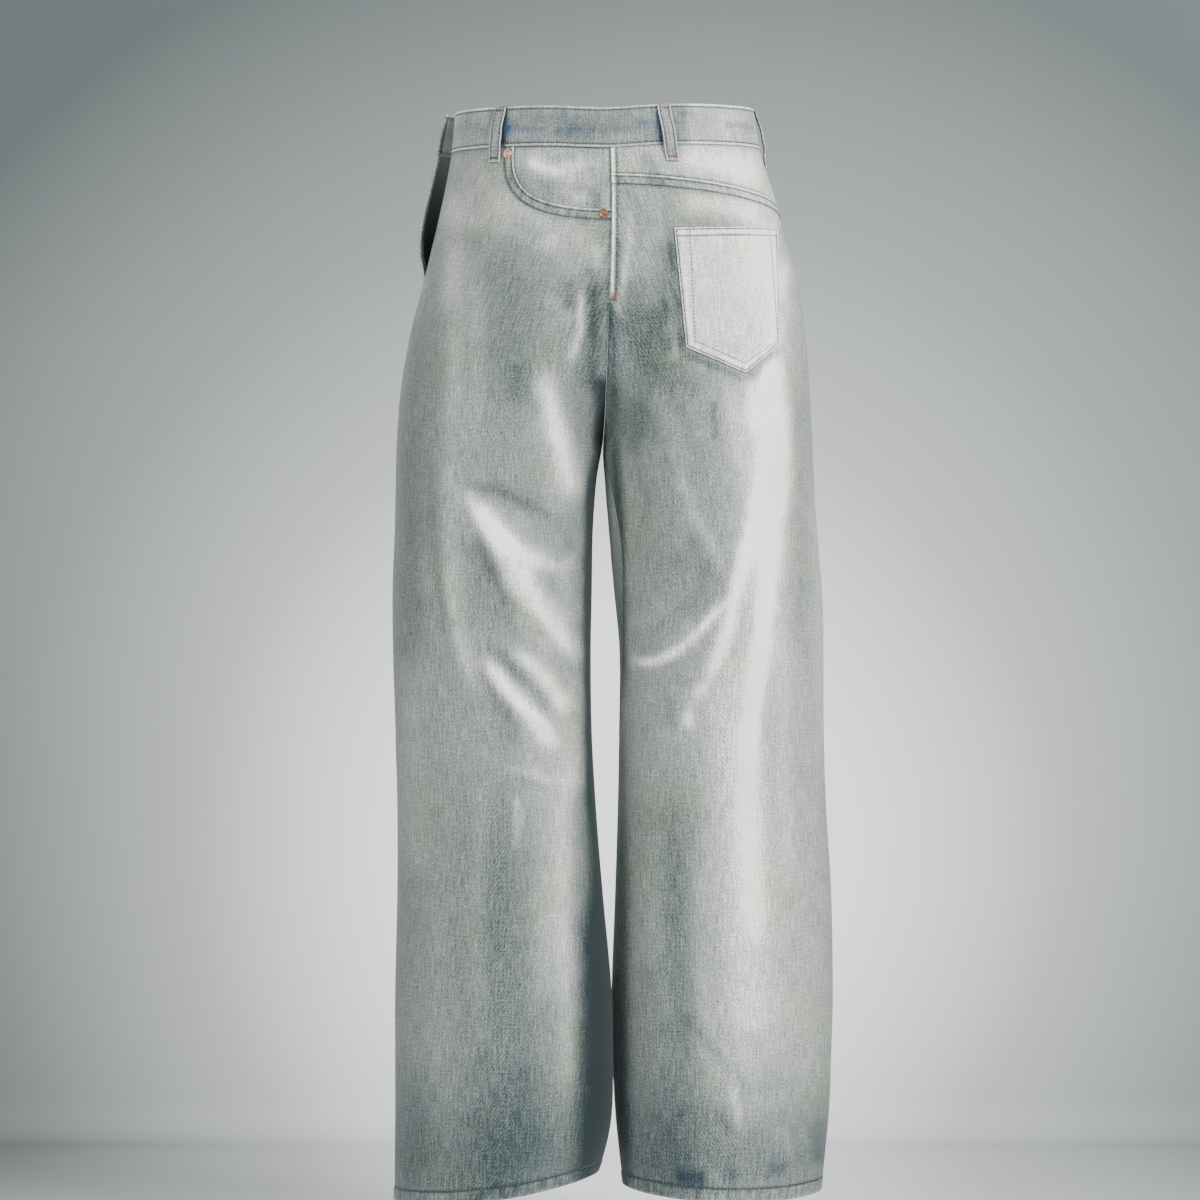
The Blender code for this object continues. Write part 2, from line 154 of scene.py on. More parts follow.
FOLDS: dict[tuple[Side, Face], tuple[Fold, ...]] = {
    (LEFT, FRONT): (
        Fold(-144, -348, -42, -392, 14, -5.0), Fold(-134, -370, -40, -518, 18, 8.5),
        Fold(-144, -405, -94, -530, 13, -5.0), Fold(-126, -518, -46, -614, 17, 7.5),
        Fold(-145, -140, -152, -470, 20, 4.5), Fold(-36, -600, -44, -1015, 22, 6.5),
    ),
    (RIGHT, FRONT): (
        Fold(164, -100, 164, -390, 18, 4.5), Fold(152, -385, 98, -560, 18, 7.0),
        Fold(166, -410, 134, -690, 17, 6.0), Fold(120, -464, 34, -534, 15, 5.5),
        Fold(96, -420, 70, -505, 20, -4.5), Fold(44, -600, 52, -1015, 22, 4.5),
    ),
    (LEFT, BACK): (
        Fold(-146, -140, -140, -480, 22, 4.5), Fold(-38, -322, -118, -410, 18, 7.5),
        Fold(-52, -470, -116, -560, 17, 6.0), Fold(-78, -650, -66, -1015, 24, 6.0),
    ),
    (RIGHT, BACK): (
        Fold(158, -120, 150, -470, 20, 4.5), Fold(34, -325, 112, -425, 19, 7.5),
        Fold(60, -500, 122, -585, 17, 5.5), Fold(92, -660, 84, -1015, 24, 5.5),
    ),
}


class Crease(NamedTuple):
    """A smaller crease along a bent path of (x, z) places.

    height is negative for a trough; lee is the depth of the trough beside it, on the left of the
    path as it runs down when positive and on the right when negative.
    """

    path: tuple[tuple[float, float], ...]
    width: float
    height: float
    lee: float = 0.0


CREASES: dict[tuple[Side, Face], tuple[Crease, ...]] = {
    (LEFT, FRONT): (
        # The drag folds over the knee
        Crease(((-140, -356), (-109, -362), (-72, -379), (-43, -391)), 5, -3.0),
        Crease(((-138, -366), (-91, -412), (-53, -428)), 8, 2.4),
        Crease(((-125, -393), (-91, -459), (-62, -488), (-38, -518)), 7, 3.0, -1.6),
        Crease(((-141, -372), (-124, -409), (-101, -468), (-88, -507)), 5, -2.6),
        Crease(((-117, -508), (-91, -539), (-74, -557), (-53, -582)), 5, -2.8),
        Crease(((-121, -523), (-105, -544), (-91, -569), (-62, -592), (-49, -609)), 7, 3.2),
        Crease(((-126, -537), (-99, -586), (-86, -618)), 5, -2.6),
        Crease(((-93, -516), (-57, -550), (-41, -575)), 7, 2.4),
        Crease(((-98, -630), (-84, -634), (-80, -655)), 4, -1.5),
        Crease(((-86, -655), (-87, -712)), 5, 1.2),
        Crease(((-160, -430), (-150, -500), (-130, -560)), 7, 2.0, 1.2),
        Crease(((-176, -330), (-170, -420), (-158, -520)), 8, -1.6),
        Crease(((-120, -640), (-128, -760), (-124, -900)), 11, 1.8),
        Crease(((-70, -640), (-76, -760), (-84, -980)), 10, -1.8),
        # Round the crotch and under the pocket
        Crease(((-25, -165), (-26, -214)), 5, 1.8, 1.4), Crease(((-12, -150), (-13, -222)), 4, -1.6),
        Crease(((-68, -245), (-53, -290), (-38, -360)), 9, 2.0, -1.0),
        Crease(((-30, -230), (-24, -280), (-22, -340)), 6, -1.8),
        Crease(((-118, -98), (-84, -112), (-40, -118)), 7, 1.2),
        Crease(((-132, -140), (-128, -230), (-132, -320)), 9, 1.4, -0.8),
    ),
    (RIGHT, FRONT): (
        Crease(((139, -403), (125, -459), (117, -506), (96, -554)), 6, 2.6, -1.4),
        Crease(((162, -422), (160, -459), (155, -516), (143, -603), (135, -678)), 6, 2.4, 1.2),
        Crease(((117, -469), (80, -514), (59, -525), (36, -530), (22, -522)), 6, 2.8),
        Crease(((104, -430), (84, -468), (56, -494), (28, -504)), 7, -2.0),
        Crease(((110, -540), (84, -552), (50, -556)), 7, -1.4), Crease(((82, -570), (79, -594)), 6, 1.2),
        Crease(((108, -915), (124, -930), (139, -946)), 4, 1.2, 1.0),
        Crease(((126, -930), (127, -955), (132, -989)), 5, 1.3),
        Crease(((14, -62), (30, -82), (44, -106)), 4, -1.0),
        Crease(((30, -62), (46, -84), (58, -104)), 4, 0.9), Crease(((16, -132), (17, -196)), 5, 1.4, -1.0),
        Crease(((30, -250), (60, -300), (84, -370)), 9, 1.4, 1.0),
        Crease(((12, -270), (26, -330), (40, -390)), 6, -1.8),
        Crease(((178, -480), (176, -620), (182, -760)), 10, 1.8, 0.8),
        Crease(((96, -700), (92, -820), (104, -960)), 11, 1.8),
        Crease(((60, -640), (66, -760), (76, -930)), 10, -1.8),
    ),
    (LEFT, BACK): (
        Crease(((-30, -316), (-70, -352), (-120, -372)), 6, 2.8, 1.6),
        Crease(((-34, -372), (-84, -426), (-128, -448)), 7, 2.6, -1.4),
        Crease(((-46, -452), (-88, -500), (-126, -520)), 6, -2.6),
        Crease(((-60, -520), (-96, -584), (-110, -640)), 7, 2.4, 1.2),
        Crease(((-150, -330), (-154, -440), (-140, -560)), 9, 1.8, 1.0),
        Crease(((-110, -680), (-116, -820), (-108, -980)), 11, 1.8),
        Crease(((-40, -640), (-36, -800), (-44, -980)), 10, -1.8),
        Crease(((-20, -160), (-34, -230), (-64, -300)), 9, 1.6, 1.0),
    ),
    (RIGHT, BACK): (
        Crease(((26, -318), (66, -356), (116, -384)), 6, 2.8, -1.6),
        Crease(((30, -384), (78, -436), (124, -462)), 7, 2.4, 1.2),
        Crease(((44, -470), (86, -516), (130, -546)), 6, -2.6),
        Crease(((64, -560), (98, -612), (108, -680)), 7, 2.2, -1.2),
        Crease(((160, -320), (164, -430), (152, -560)), 9, 1.8, -1.0),
        Crease(((126, -700), (132, -840), (122, -990)), 11, 1.8),
        Crease(((52, -660), (48, -820), (58, -980)), 10, -1.8),
        Crease(((18, -170), (36, -240), (66, -306)), 9, 1.6, -1.0),
    ),
}


class Stroke(NamedTuple):
    """A streak painted along a path, for bleach and for painted highlights and shade: how much paler the
    cloth is along it, and how blue.
    """

    path: tuple[tuple[float, float], ...]
    width: float
    amount: float
    blue: float = 0.0


STROKES: dict[tuple[Side, Face], tuple[Stroke, ...]] = {
    (LEFT, FRONT): (
        # Broad painted light and shade: the outer side paler, the inner one darker where the legs shade each
        # other
        Stroke(((-132, -20), (-128, -64), (-134, -104)), 34, 0.15),
        Stroke(((-152, -60), (-153, -120), (-158, -180)), 13, 0.15),
        Stroke(((-110, -660), (-110, -900), (-104, -1120)), 42, -0.16),
        Stroke(((-70, -150), (-104, -220), (-106, -310)), 36, -0.06),
        Stroke(((-250, -1016), (-130, -1018), (10, -1016)), 62, -0.15),
        Stroke(((-66, -560), (-63, -700), (-60, -860)), 20, 0.15),
        Stroke(((-190, -520), (-193, -620), (-188, -740)), 16, 0.13),
        Stroke(((-44, -430), (-38, -470), (-30, -490)), 12, 0.12),
        Stroke(((-36, -540), (-30, -580)), 12, 0.10),
        Stroke(((-48, -556), (-34, -600), (-28, -660)), 13, 0.18),
        # Painted highlights on the facing's wrinkles, with painted shadows beside them and inside the mouth's
        # left edge
        Stroke(((-80, -36), (-50, -44), (-8, -38)), 6, 0.24),
        Stroke(((-93, -40), (-82, -62), (-50, -82)), 7, -0.13),
        Stroke(((-62, -56), (-30, -62), (-14, -58)), 6, -0.10), Stroke(((-54, -66), (-24, -76)), 5, 0.14),
        Stroke(((-10, -62), (-9, -86)), 6, -0.20),
        # More broad painted light and shade over the thigh and knee
        Stroke(((-100, -440), (-78, -480), (-60, -530), (-52, -560)), 17, 0.13),
        Stroke(((-64, -285), (-52, -330), (-52, -390)), 15, 0.12),
        Stroke(((-134, -440), (-130, -500)), 16, -0.07),
        # Round the scooped pocket, the centre and the crotch: pale creases, from wear and painted highlights,
        # and painted shade down the centre seam and deep in the crotch
        Stroke(((-114, -73), (-75, -90), (-31, -109), (-8, -129)), 15, 0.17),
        Stroke(((-65, -114), (-26, -144)), 13, 0.10),
        Stroke(((-104, -124), (-96, -180), (-90, -262)), 22, -0.05, 0.04),
        Stroke(((-36, -152), (-35, -186)), 7, -0.12),
        Stroke(((-25, -166), (-25, -197), (-27, -210), (-36, -234)), 4.5, 0.26),
        Stroke(((-59, -169), (-33, -194)), 7, 0.12), Stroke(((-9, -120), (-9, -143)), 6, 0.12),
        Stroke(((-16, -142), (-17, -150)), 4, -0.14),
        Stroke(((-10, -155), (-12, -200), (-14, -262)), 11, -0.28),
        Stroke(((-4, -250), (-4, -318)), 8, -0.60),
        Stroke(((-60, -245), (-53, -281), (-43, -311), (-35, -341), (-31, -369)), 12, 0.33),
        Stroke(((-87, -236), (-86, -276)), 11, -0.09),
        Stroke(((-144, -110), (-147, -220), (-152, -300)), 13, 0.13),
        # The drag folds over the knee: pale ridges, from wear and painted highlights, with painted shadows
        # under them
        Stroke(((-153, -300), (-156, -370), (-153, -419), (-145, -468), (-137, -507), (-130, -550)),
               11, 0.12),
        Stroke(((-136, -409), (-119, -458), (-104, -493)), 15, -0.03),
        Stroke(((-136, -357), (-104, -363), (-85, -371), (-65, -381), (-45, -389)), 9, -0.05),
        Stroke(((-134, -368), (-118, -393), (-100, -416), (-72, -458), (-43, -502), (-28, -527)), 11, 0.42),
        Stroke(((-124, -378), (-85, -412), (-55, -440)), 15, 0.18),
        Stroke(((-104, -408), (-75, -428), (-50, -434), (-30, -426)), 7, 0.14),
        Stroke(((-146, -382), (-131, -412), (-113, -451), (-99, -486)), 7, -0.04),
        Stroke(((-110, -519), (-88, -538), (-67, -561), (-55, -579)), 8, -0.07),
        Stroke(((-118, -528), (-101, -551), (-82, -568), (-66, -592), (-49, -612)), 10, 0.40),
        Stroke(((-128, -540), (-118, -565), (-108, -586), (-98, -612)), 7, -0.03),
        Stroke(((-90, -517), (-60, -545), (-37, -577)), 9, 0.20),
        Stroke(((-98, -632), (-72, -640), (-50, -648)), 6, 0.12),
        Stroke(((-96, -637), (-75, -647), (-56, -655)), 4, -0.06),
        Stroke(((-88, -661), (-88, -713)), 4, 0.14),
        # Painted shade with a blue cast down the outer edge, and deep painted shade down the inner edge,
        # where the legs shade each other
        Stroke(((-193, -190), (-194, -400), (-190, -520)), 13, -0.03, 0.10),
        Stroke(((-8, -316), (-13, -370), (-15, -480), (-14, -570), (-10, -680)), 7, -0.80),
        # The shin and the hem, with deep painted shade down the inner edge
        Stroke(((-40, -620), (-42, -763), (-36, -861), (-39, -958)), 11, 0.20),
        Stroke(((-8, -760), (-12, -900), (-10, -1000), (-10, -1120)), 18, -0.50),
        Stroke(((-8, -620), (0, -760), (7, -860), (9, -930), (4, -985), (-6, -1120)), 14, -0.80),
        Stroke(((-188, -930), (-186, -1060)), 16, -0.04, 0.07),
        Stroke(((-74, -920), (-70, -1025)), 24, -0.05, 0.06),
    ),
    (RIGHT, FRONT): (
        # Broad painted light and shade: the outer side paler, the inner one darker where the legs shade each
        # other
        Stroke(((170, -60), (186, -300), (196, -600), (200, -1000)), 42, 0.12),
        Stroke(((62, -660), (64, -850), (62, -1120)), 38, -0.17),
        Stroke(((126, -520), (128, -640), (136, -780), (144, -980)), 32, 0.28),
        Stroke(((141, -250), (152, -400), (148, -560)), 24, 0.22),
        Stroke(((-20, -1016), (110, -1012), (260, -1016)), 62, -0.17),
        Stroke(((144, -890), (156, -960)), 24, -0.12),
        Stroke(((158, -270), (165, -360), (162, -450)), 17, 0.14),
        Stroke(((34, -180), (60, -330), (66, -480)), 36, -0.09),
        # Under the yoke and round the patch pocket, with a painted shadow line along the pocket's inner and
        # lower edges
        Stroke(((72, -76), (120, -80), (171, -92)), 13, 0.28),
        Stroke(((74, -32), (110, -36), (152, -46)), 14, 0.24),
        Stroke(((36, -30), (46, -46), (58, -60)), 8, -0.14),
        Stroke(((23, -85), (21, -130), (14, -168), (12, -190)), 4, 0.16),
        Stroke(((12, -112), (11, -165)), 4.5, -0.12), Stroke(((57, -116), (58, -193)), 9, -0.16),
        Stroke(((30, -150), (38, -200), (62, -244), (92, -262)), 20, -0.10),
        Stroke(((12, -160), (22, -200), (34, -240), (30, -320)), 19, -0.14),
        Stroke(((46, -176), (60, -206), (70, -224)), 14, -0.13),
        Stroke(((62.5, -104), (74.5, -224)), 4, -0.28), Stroke(((77, -226), (136, -251)), 4, -0.18),
        Stroke(((139, -250), (169, -221)), 4, -0.20),
        Stroke(((124, -10), (152, -90), (160, -160)), 27, 0.15), Stroke(((73, -186), (64, -234)), 5, 0.14),
        Stroke(((174, -130), (170, -190), (165, -252)), 11, 0.26),
        Stroke(((150, -84), (165, -92)), 6, -0.10, 0.30),
        # The band of painted highlight that parts in two, and the folds beside it, with painted highlights on
        # their ridges and painted shade between
        Stroke(((161, -235), (166, -291), (168, -330), (164, -380)), 14, 0.50),
        Stroke(((140, -252), (146, -300)), 8, 0.14),
        Stroke(((120, -252), (126, -310), (132, -340)), 7, 0.10),
        Stroke(((106, -272), (107, -312)), 4, -0.13),
        Stroke(((156, -345), (142, -406), (129, -454), (118, -501), (97, -550)), 9, 0.34),
        Stroke(((94, -550), (78, -592)), 7, 0.14),
        Stroke(((162, -366), (161, -419), (158, -466), (154, -514), (146, -561), (140, -625)), 9, 0.40),
        Stroke(((140, -600), (143, -704), (147, -802)), 14, 0.24),
        Stroke(((68, -342), (83, -376), (99, -406), (113, -442)), 7, 0.13),
        Stroke(((84, -404), (98, -440), (112, -468)), 15, -0.05),
        Stroke(((27, -530), (51, -528), (71, -516), (94, -495), (116, -472)), 5, 0.26),
        Stroke(((60, -560), (66, -596)), 8, -0.10), Stroke(((80, -578), (80, -597)), 7, 0.16),
        Stroke(((190, -250), (190, -400), (192, -520)), 11, -0.08, 0.05),
        # A pale line at the outer edge, then painted shade down the inner edge, where the legs shade each
        # other
        Stroke(((212, -360), (215, -640)), 7, 0.10), Stroke(((4, -180), (5, -240), (6, -300)), 7, -0.28),
        Stroke(((8, -300), (13, -400), (15, -560)), 6, -0.42),
        # The shin and the hem, with painted shade down the inner edge
        Stroke(((14, -560), (16, -760), (20, -1120)), 6, -0.22, 0.10),
        Stroke(((42, -700), (44, -830)), 13, 0.07),
        Stroke(((73, -873), (109, -914), (127, -933), (137, -945)), 6, -0.10, 0.06),
        Stroke(((131, -938), (138, -948)), 4, -0.10), Stroke(((124, -950), (132, -992)), 6, 0.12),
        Stroke(((114, -978), (125, -995)), 4, -0.12), Stroke(((180, -992), (180, -1016)), 3.5, 0.10),
        Stroke(((211, -985), (213, -1030)), 9, -0.12, 0.14),
        Stroke(((68, -1037), (98, -1040)), 8, -0.22, 0.18),
        Stroke(((116, -1034), (128, -1036)), 7, -0.16, 0.18),
        Stroke(((160, -1030), (178, -1030)), 8, -0.14, 0.15),
    ),
    (LEFT, BACK): (
        # Pale fold ridges, from wear and painted highlights, with painted shade beside them and down both
        # edges
        Stroke(((-146, -140), (-142, -480)), 14, 0.18),
        Stroke(((-40, -330), (-80, -372), (-118, -412)), 8, 0.26),
        Stroke(((-60, -410), (-110, -450)), 9, -0.16),
        Stroke(((-190, -200), (-190, -1000)), 16, -0.08, 0.10),
        Stroke(((-12, -400), (-10, -1040)), 10, -0.28, 0.08), Stroke(((-74, -650), (-68, -1015)), 14, 0.16),
        Stroke(((-110, -560), (-86, -640)), 8, 0.18),
    ),
    (RIGHT, BACK): (
        # Pale fold ridges, from wear and painted highlights, with painted shade beside them and down both
        # edges
        Stroke(((158, -120), (150, -470)), 14, 0.20),
        Stroke(((36, -326), (76, -376), (112, -426)), 8, 0.26), Stroke(((66, -420), (112, -470)), 9, -0.16),
        Stroke(((18, -400), (20, -1045)), 10, -0.26, 0.08), Stroke(((90, -660), (84, -1015)), 14, 0.16),
        Stroke(((200, -200), (206, -1000)), 16, -0.08, 0.08),
        Stroke(((211, -985), (213, -1030)), 9, -0.10, 0.10),
    ),
}


def smooth(t: Array) -> Array:
    """A soft step from 0 to 1 as t goes from 0 to 1."""
    t = np.clip(t, 0.0, 1.0)
    return t * t * (3 - 2 * t)


def power(value: Array, exponent: float) -> Array:
    """A signed power."""
    return np.sign(value) * np.abs(value) ** exponent


def bump(t: Array) -> Array:
    """A soft bell of height 1 at t = 0."""
    return np.exp(-(t * t))


def between(t: Array, past: float, rise: float) -> Array:
    """A soft plateau: 1 where t lies inside 0 to 1, and 0 a little past both ends.

    Args:
        t: Shares of a length.
        past: How far past 0 and 1 it reaches.
        rise: Over what share it eases in and out.

    Returns:
        The heights of the plateau.
    """
    return smooth((t + past) / rise) * smooth((1 + past - t) / rise)


def placed(name: str, data: Any) -> bpy.types.Object:
    """Puts a mesh, a light or a camera into the scene.

    Args:
        name: Name of the object.
        data: What it holds.

    Returns:
        The new object.
    """
    made = bpy.data.objects.new(name, data)
    bpy.context.scene.collection.objects.link(made)
    return made


def curve(rows: Sequence[Any], column: str, z: Array) -> Array:
    """A column's value at heights z, on a smooth curve through its rows, which run downwards.

    Args:
        rows: Rows with a z, from the top down.
        column: Name of the value that is read.
        z: Heights.

    Returns:
        The values at those heights.
    """
    heights = np.array([row.z for row in rows], float)
    values = np.array([getattr(row, column) for row in rows], float)
    last = len(rows) - 1
    before = np.maximum(np.arange(last + 1) - 1, 0)
    after = np.minimum(np.arange(last + 1) + 1, last)
    slopes = (values[after] - values[before]) / (heights[after] - heights[before])
    z = np.clip(np.asarray(z, float), heights[-1], heights[0])
    k = np.clip(np.searchsorted(-heights, -z, side="left") - 1, 0, last - 1)
    span = heights[k + 1] - heights[k]
    t = (z - heights[k]) / span
    return (
        values[k] * (2 * t**3 - 3 * t**2 + 1)
        + values[k + 1] * (3 * t**2 - 2 * t**3)
        + slopes[k] * span * (t**3 - 2 * t**2 + t)
        + slopes[k + 1] * span * (t**3 - t**2)
    )


def through(points: Sequence[Sequence[float]], steps: int = 8) -> Array:
    """Places along a smooth curve through points.

    Args:
        points: Points of the curve, in any number of dimensions.
        steps: Places for each stretch between two points.

    Returns:
        An array of the places.
    """
    knots = np.array(points, float)
    if len(knots) == 2:
        t = np.linspace(0, 1, steps + 1)[:, None]
        return knots[0] * (1 - t) + knots[1] * t
    ends = np.vstack([2 * knots[0] - knots[1], knots, 2 * knots[-1] - knots[-2]])
    t = np.linspace(0, 1, steps, endpoint=False)[:, None]
    found = []
    for a, b, c, d in zip(ends, ends[1:], ends[2:], ends[3:]):
        found.append(0.5 * (2 * b + (c - a) * t + (2 * a - 5 * b + 4 * c - d) * t**2
                            + (3 * b - a - 3 * c + d) * t**3))
    return np.vstack([*found, knots[-1:]])


def along(path: Array, x: Array, z: Array) -> tuple[Array, Array]:
    """How far along a path in (x, z) each place is, and how far off it.

    Args:
        path: Points of the path.
        x: Across values of the places.
        z: Heights of the places.

    Returns:
        The share of the path's length, which passes 0 or 1 beyond its ends, and the distance off
        it, positive on the left as the path runs.
    """
    lengths = np.hypot(*np.diff(path, axis=0).T)
    starts = np.concatenate([[0], np.cumsum(lengths)])
    best = np.full(x.shape, np.inf)
    share = np.full(x.shape, -1.0)
    off = np.full(x.shape, 1e3)
    last = len(lengths) - 1
    for k, length in enumerate(lengths):
        run = (path[k + 1] - path[k]) / length
        dx, dz = x - path[k, 0], z - path[k, 1]
        free = dx * run[0] + dz * run[1]
        held = np.clip(free, 0, length)
        gap = (dx - held * run[0]) ** 2 + (dz - held * run[1]) ** 2
        closer = gap < best
        best = np.where(closer, gap, best)
        reach = np.where((k == 0) & (free < 0) | (k == last) & (free > length), free, held)
        share = np.where(closer, (starts[k] + reach) / starts[-1], share)
        off = np.where(closer, dz * run[0] - dx * run[1], off)
    return share, off


class Mottle:
    """Smooth uneven values between -1 and 1 over a plane, the same on every run."""

    def __init__(self, seed: int) -> None:
        """Draws the values at the plane's grid points.

        Args:
            seed: Seed of the draw.
        """
        self.values = np.random.default_rng(seed).uniform(-1, 1, (64, 64))

    def at(self, u: Array, v: Array) -> Array:
        """The values at places, whose unit is the size of one patch.

        Args:
            u: First coordinate.
            v: Second coordinate.

        Returns:
            The values.
        """
        i, j = np.floor(u).astype(int), np.floor(v).astype(int)
        s, t = smooth(u - i), smooth(v - j)
        grid = self.values
        top = grid[i % 64, j % 64] * (1 - s) + grid[(i + 1) % 64, j % 64] * s
        low = grid[i % 64, (j + 1) % 64] * (1 - s) + grid[(i + 1) % 64, (j + 1) % 64] * s
        return top * (1 - t) + low * t


@dataclass
class WornForm:
    """The shape that the cloth takes on the wearer, with the named sizes of the solids."""

    seam_gap: float = 0.3
    waist_z: float = -20.0
    crotch_z: float = -310.0
    join_z: float = -112.0
    hem_block_z: float = -1010.0
    roundness: float = 2.2
    pinch_start_z: float = -130.0
    yoke_centre_z: float = -48.5
    yoke_side_z: float = -76.0
    yoke_power: float = 1.5
    flare_angle: float = 0.75
    lip_back: float = 2.0
    mouth_width: float = 94.0
    mouth_depth: float = 60.0
    mouth_power: float = 2.7
    mottle: Mottle = field(default_factory=lambda: Mottle(11))

    def ring(self, side: Side, z: Array) -> tuple[Array, Array, Array]:
        """The ring that one half of the garment follows.

        Args:
            side: Half of the garment.
            z: Heights.

        Returns:
            Its middle x, its half width and its pinch, from 0 at the waist to 1 at the crotch.
        """
        outer = curve(SECTIONS, "left_out" if side == LEFT else "right_out", z)
        inner = curve(SECTIONS, "left_in", z)
        if side == RIGHT:
            inner = np.where(z >= self.crotch_z, inner, curve(SECTIONS, "right_in", z))
        pinch = smooth((self.pinch_start_z - z) / (self.pinch_start_z - self.crotch_z)) ** 2
        half = np.abs(inner - outer) / (1 + pinch)
        return outer - side * half, half, pinch

    def last_angle(self, side: Side, face: Face, z: Array) -> Array:
        """Angle of the centre seam or the inseam round the ring, from the side seam.

        Args:
            side: Half of the garment.
            face: Front or back.
            z: Heights.

        Returns:
            The angles in radians.
        """
        pinch = self.ring(side, z)[2]
        turn = curve(RIGHT_TURNS, "value", z) if side == RIGHT else 0.0
        above = np.arccos(-(pinch ** (self.roundness / 2)))
        return np.where(z > self.crotch_z, above, math.pi + face * turn)

    def f_at(self, side: Side, face: Face, x: Array, z: Array) -> Array:
        """The f of the places that have these x at heights z.

        Args:
            side: Half of the garment.
            face: Front or back.
            x: Across values.
            z: Heights.

        Returns:
            The f values.
        """
        z = np.asarray(z, float)
        middle, half, _ = self.ring(side, z)
        c = power(side * (x - middle) / half, self.roundness / 2)
        return np.arccos(np.clip(c, -1, 1)) / self.last_angle(side, face, z)

    def relief(self, side: Side, face: Face, f: Array, x: Array, z: Array) -> Array:
        """How far the folds, creases and slack raise the cloth.

        Args:
            side: Half of the garment.
            face: Front or back.
            f: Places across the quarter.
            x: Across values of the plain form there.
            z: Heights.

        Returns:
            The heights of the relief.
        """
        total = np.zeros(np.shape(x))
        for fold in FOLDS[side, face]:
            path = np.array([(fold.x_high, fold.z_high), (fold.x_low, fold.z_low)], float)
            t, _ = along(path, x, z)
            ends = between(t, 0.0, 0.3)
            run = path[1] - path[0]
            true_off = ((x - path[0, 0]) * run[1] - (z - path[0, 1]) * run[0]) / np.hypot(*run)
            total += fold.height * ends * bump(true_off / fold.width)
        total *= between(f, 0.0, 0.12)
        fine = np.zeros(np.shape(x))
        for crease in CREASES[side, face]:
            t, off = along(through(crease.path), x, z)
            ends = between(t, 0.12, 0.4)
            fine += crease.height * ends * bump(off / crease.width)
            if crease.lee:
                beside = off - math.copysign(1.7 * crease.width, crease.lee)
                fine -= abs(crease.lee) * ends * bump(beside / crease.width)
        shift = 7.3 * side + 3.1 * face
        slack = 0.9 * self.mottle.at(x / 34 + shift, z / 95 + shift)
        slack += 0.45 * self.mottle.at(x / 15 - shift, z / 31)
        slack += 0.18 * self.mottle.at(x / 7, z / 11 + shift)
        held = smooth((-z - 8) / 90)
        return total + (fine + slack * (0.35 + 0.65 * held)) * between(f, 0.0, 0.06)

    def at(self, side: Side, face: Face, f: Array, z: Array, apart: float = HALF_GAP,
           plain: bool = False) -> tuple[Array, Array]:
        """Outer points of the cloth and their outward directions, which are level.

        Args:
            side: Half of the garment.
            face: Front or back.
            f: Places across the quarter.
            z: Heights.
            apart: How far the quarter is moved out sideways, to leave the seam's gap.
            plain: Whether the folds and creases are left out.

        Returns:
            The points and the directions, each with three numbers in its last axis.
        """
        f, z = np.broadcast_arrays(np.asarray(f, float), np.asarray(z, float))
        middle, half, _ = self.ring(side, z)
        angle = f * self.last_angle(side, face, z)
        c, s = np.cos(angle), np.sin(angle)
        on_front = (face * s < 0) | ((s == 0) & (face == FRONT))
        depth = np.where(on_front, curve(SECTIONS, "front", z), curve(SECTIONS, "back", z))
        x = middle + side * half * power(c, 2 / self.roundness)
        y = face * depth * power(s, 2 / self.roundness)
        out = np.stack([
            side * power(c, 2 - 2 / self.roundness) / half,
            face * power(s, 2 - 2 / self.roundness) / depth,
            np.zeros(f.shape),
        ], -1)
        out /= np.linalg.norm(out, axis=-1, keepdims=True)
        point = np.stack([x, y, z], -1)
        if not plain:
            point = point + out * self.relief(side, face, f, x, z)[..., None]
        if side == LEFT and face == BACK:
            share = smooth(1 - angle / self.flare_angle)
            flare = curve(FLARES, "value", z)
            point[..., 0] -= flare * share
            point[..., 1] += self.lip_back * share * np.minimum(flare / 4, 1)
        point[..., 0] += side * apart
        point[..., 1] += face * self.seam_gap / 2 + side * curve(SECTIONS, "stagger", z)
        return point, out

    def waist_line(self, side: Side, face: Face, f: Array) -> Array:
        """Heights of the waist seam: it dips a little at the front and rises to the right."""
        x = self.at(side, face, f, np.full(np.shape(f), self.waist_z), plain=True)[0][..., 0]
        dip = 3.5 * bump(x / 45) if face == FRONT else 0.0
        return self.waist_z + 0.012 * x - dip

    def yoke_line(self, f: Array) -> Array:
        """Heights of the yoke seam, lowest at the side."""
        return self.yoke_centre_z + (self.yoke_side_z - self.yoke_centre_z) * (1 - f) ** self.yoke_power

    def hem_line(self, side: Side, f: Array) -> Array:
        """Heights of the hem edge."""
        hem = HEMS[side]
        inner = (1 - np.cos(f * math.pi)) / 2
        return hem.low + hem.inner_lift * inner**2 + hem.outer_lift * (1 - inner) ** 2

    def mouth_start(self) -> float:
        """The f where the pocket mouth leaves the waist seam."""
        left_in = float(curve(SECTIONS, "left_in", self.waist_z))
        return float(self.f_at(LEFT, FRONT, left_in - self.mouth_width, self.waist_z))

    def arcs(self, side: Side, face: Face, z: float) -> tuple[Array, Array]:
        """How the girth grows across a quarter at a height.

        Args:
            side: Half of the garment.
            face: Front or back.
            z: Height.

        Returns:
            Places f, and the length of cloth from the side seam to each.
        """
        f = np.linspace(0, 1, 181)
        points = self.at(side, face, f, np.full(f.shape, z), plain=True)[0]
        steps = np.linalg.norm(np.diff(points, axis=0), axis=1)
        return f, np.concatenate([[0], np.cumsum(steps)])


FORM = WornForm()

# The weave of the inner side lies this far off that of the outer one, in metres
INNER_SHIFT_M = (0.0007, 0.0011)
# How much paler a turned-in edge is than the cloth's outer side
TURN_IN_PALE = 0.35
# Each panel and yoke takes its weave from a stretch of its own, this far from the next
WEAVE_STEP = 400.0


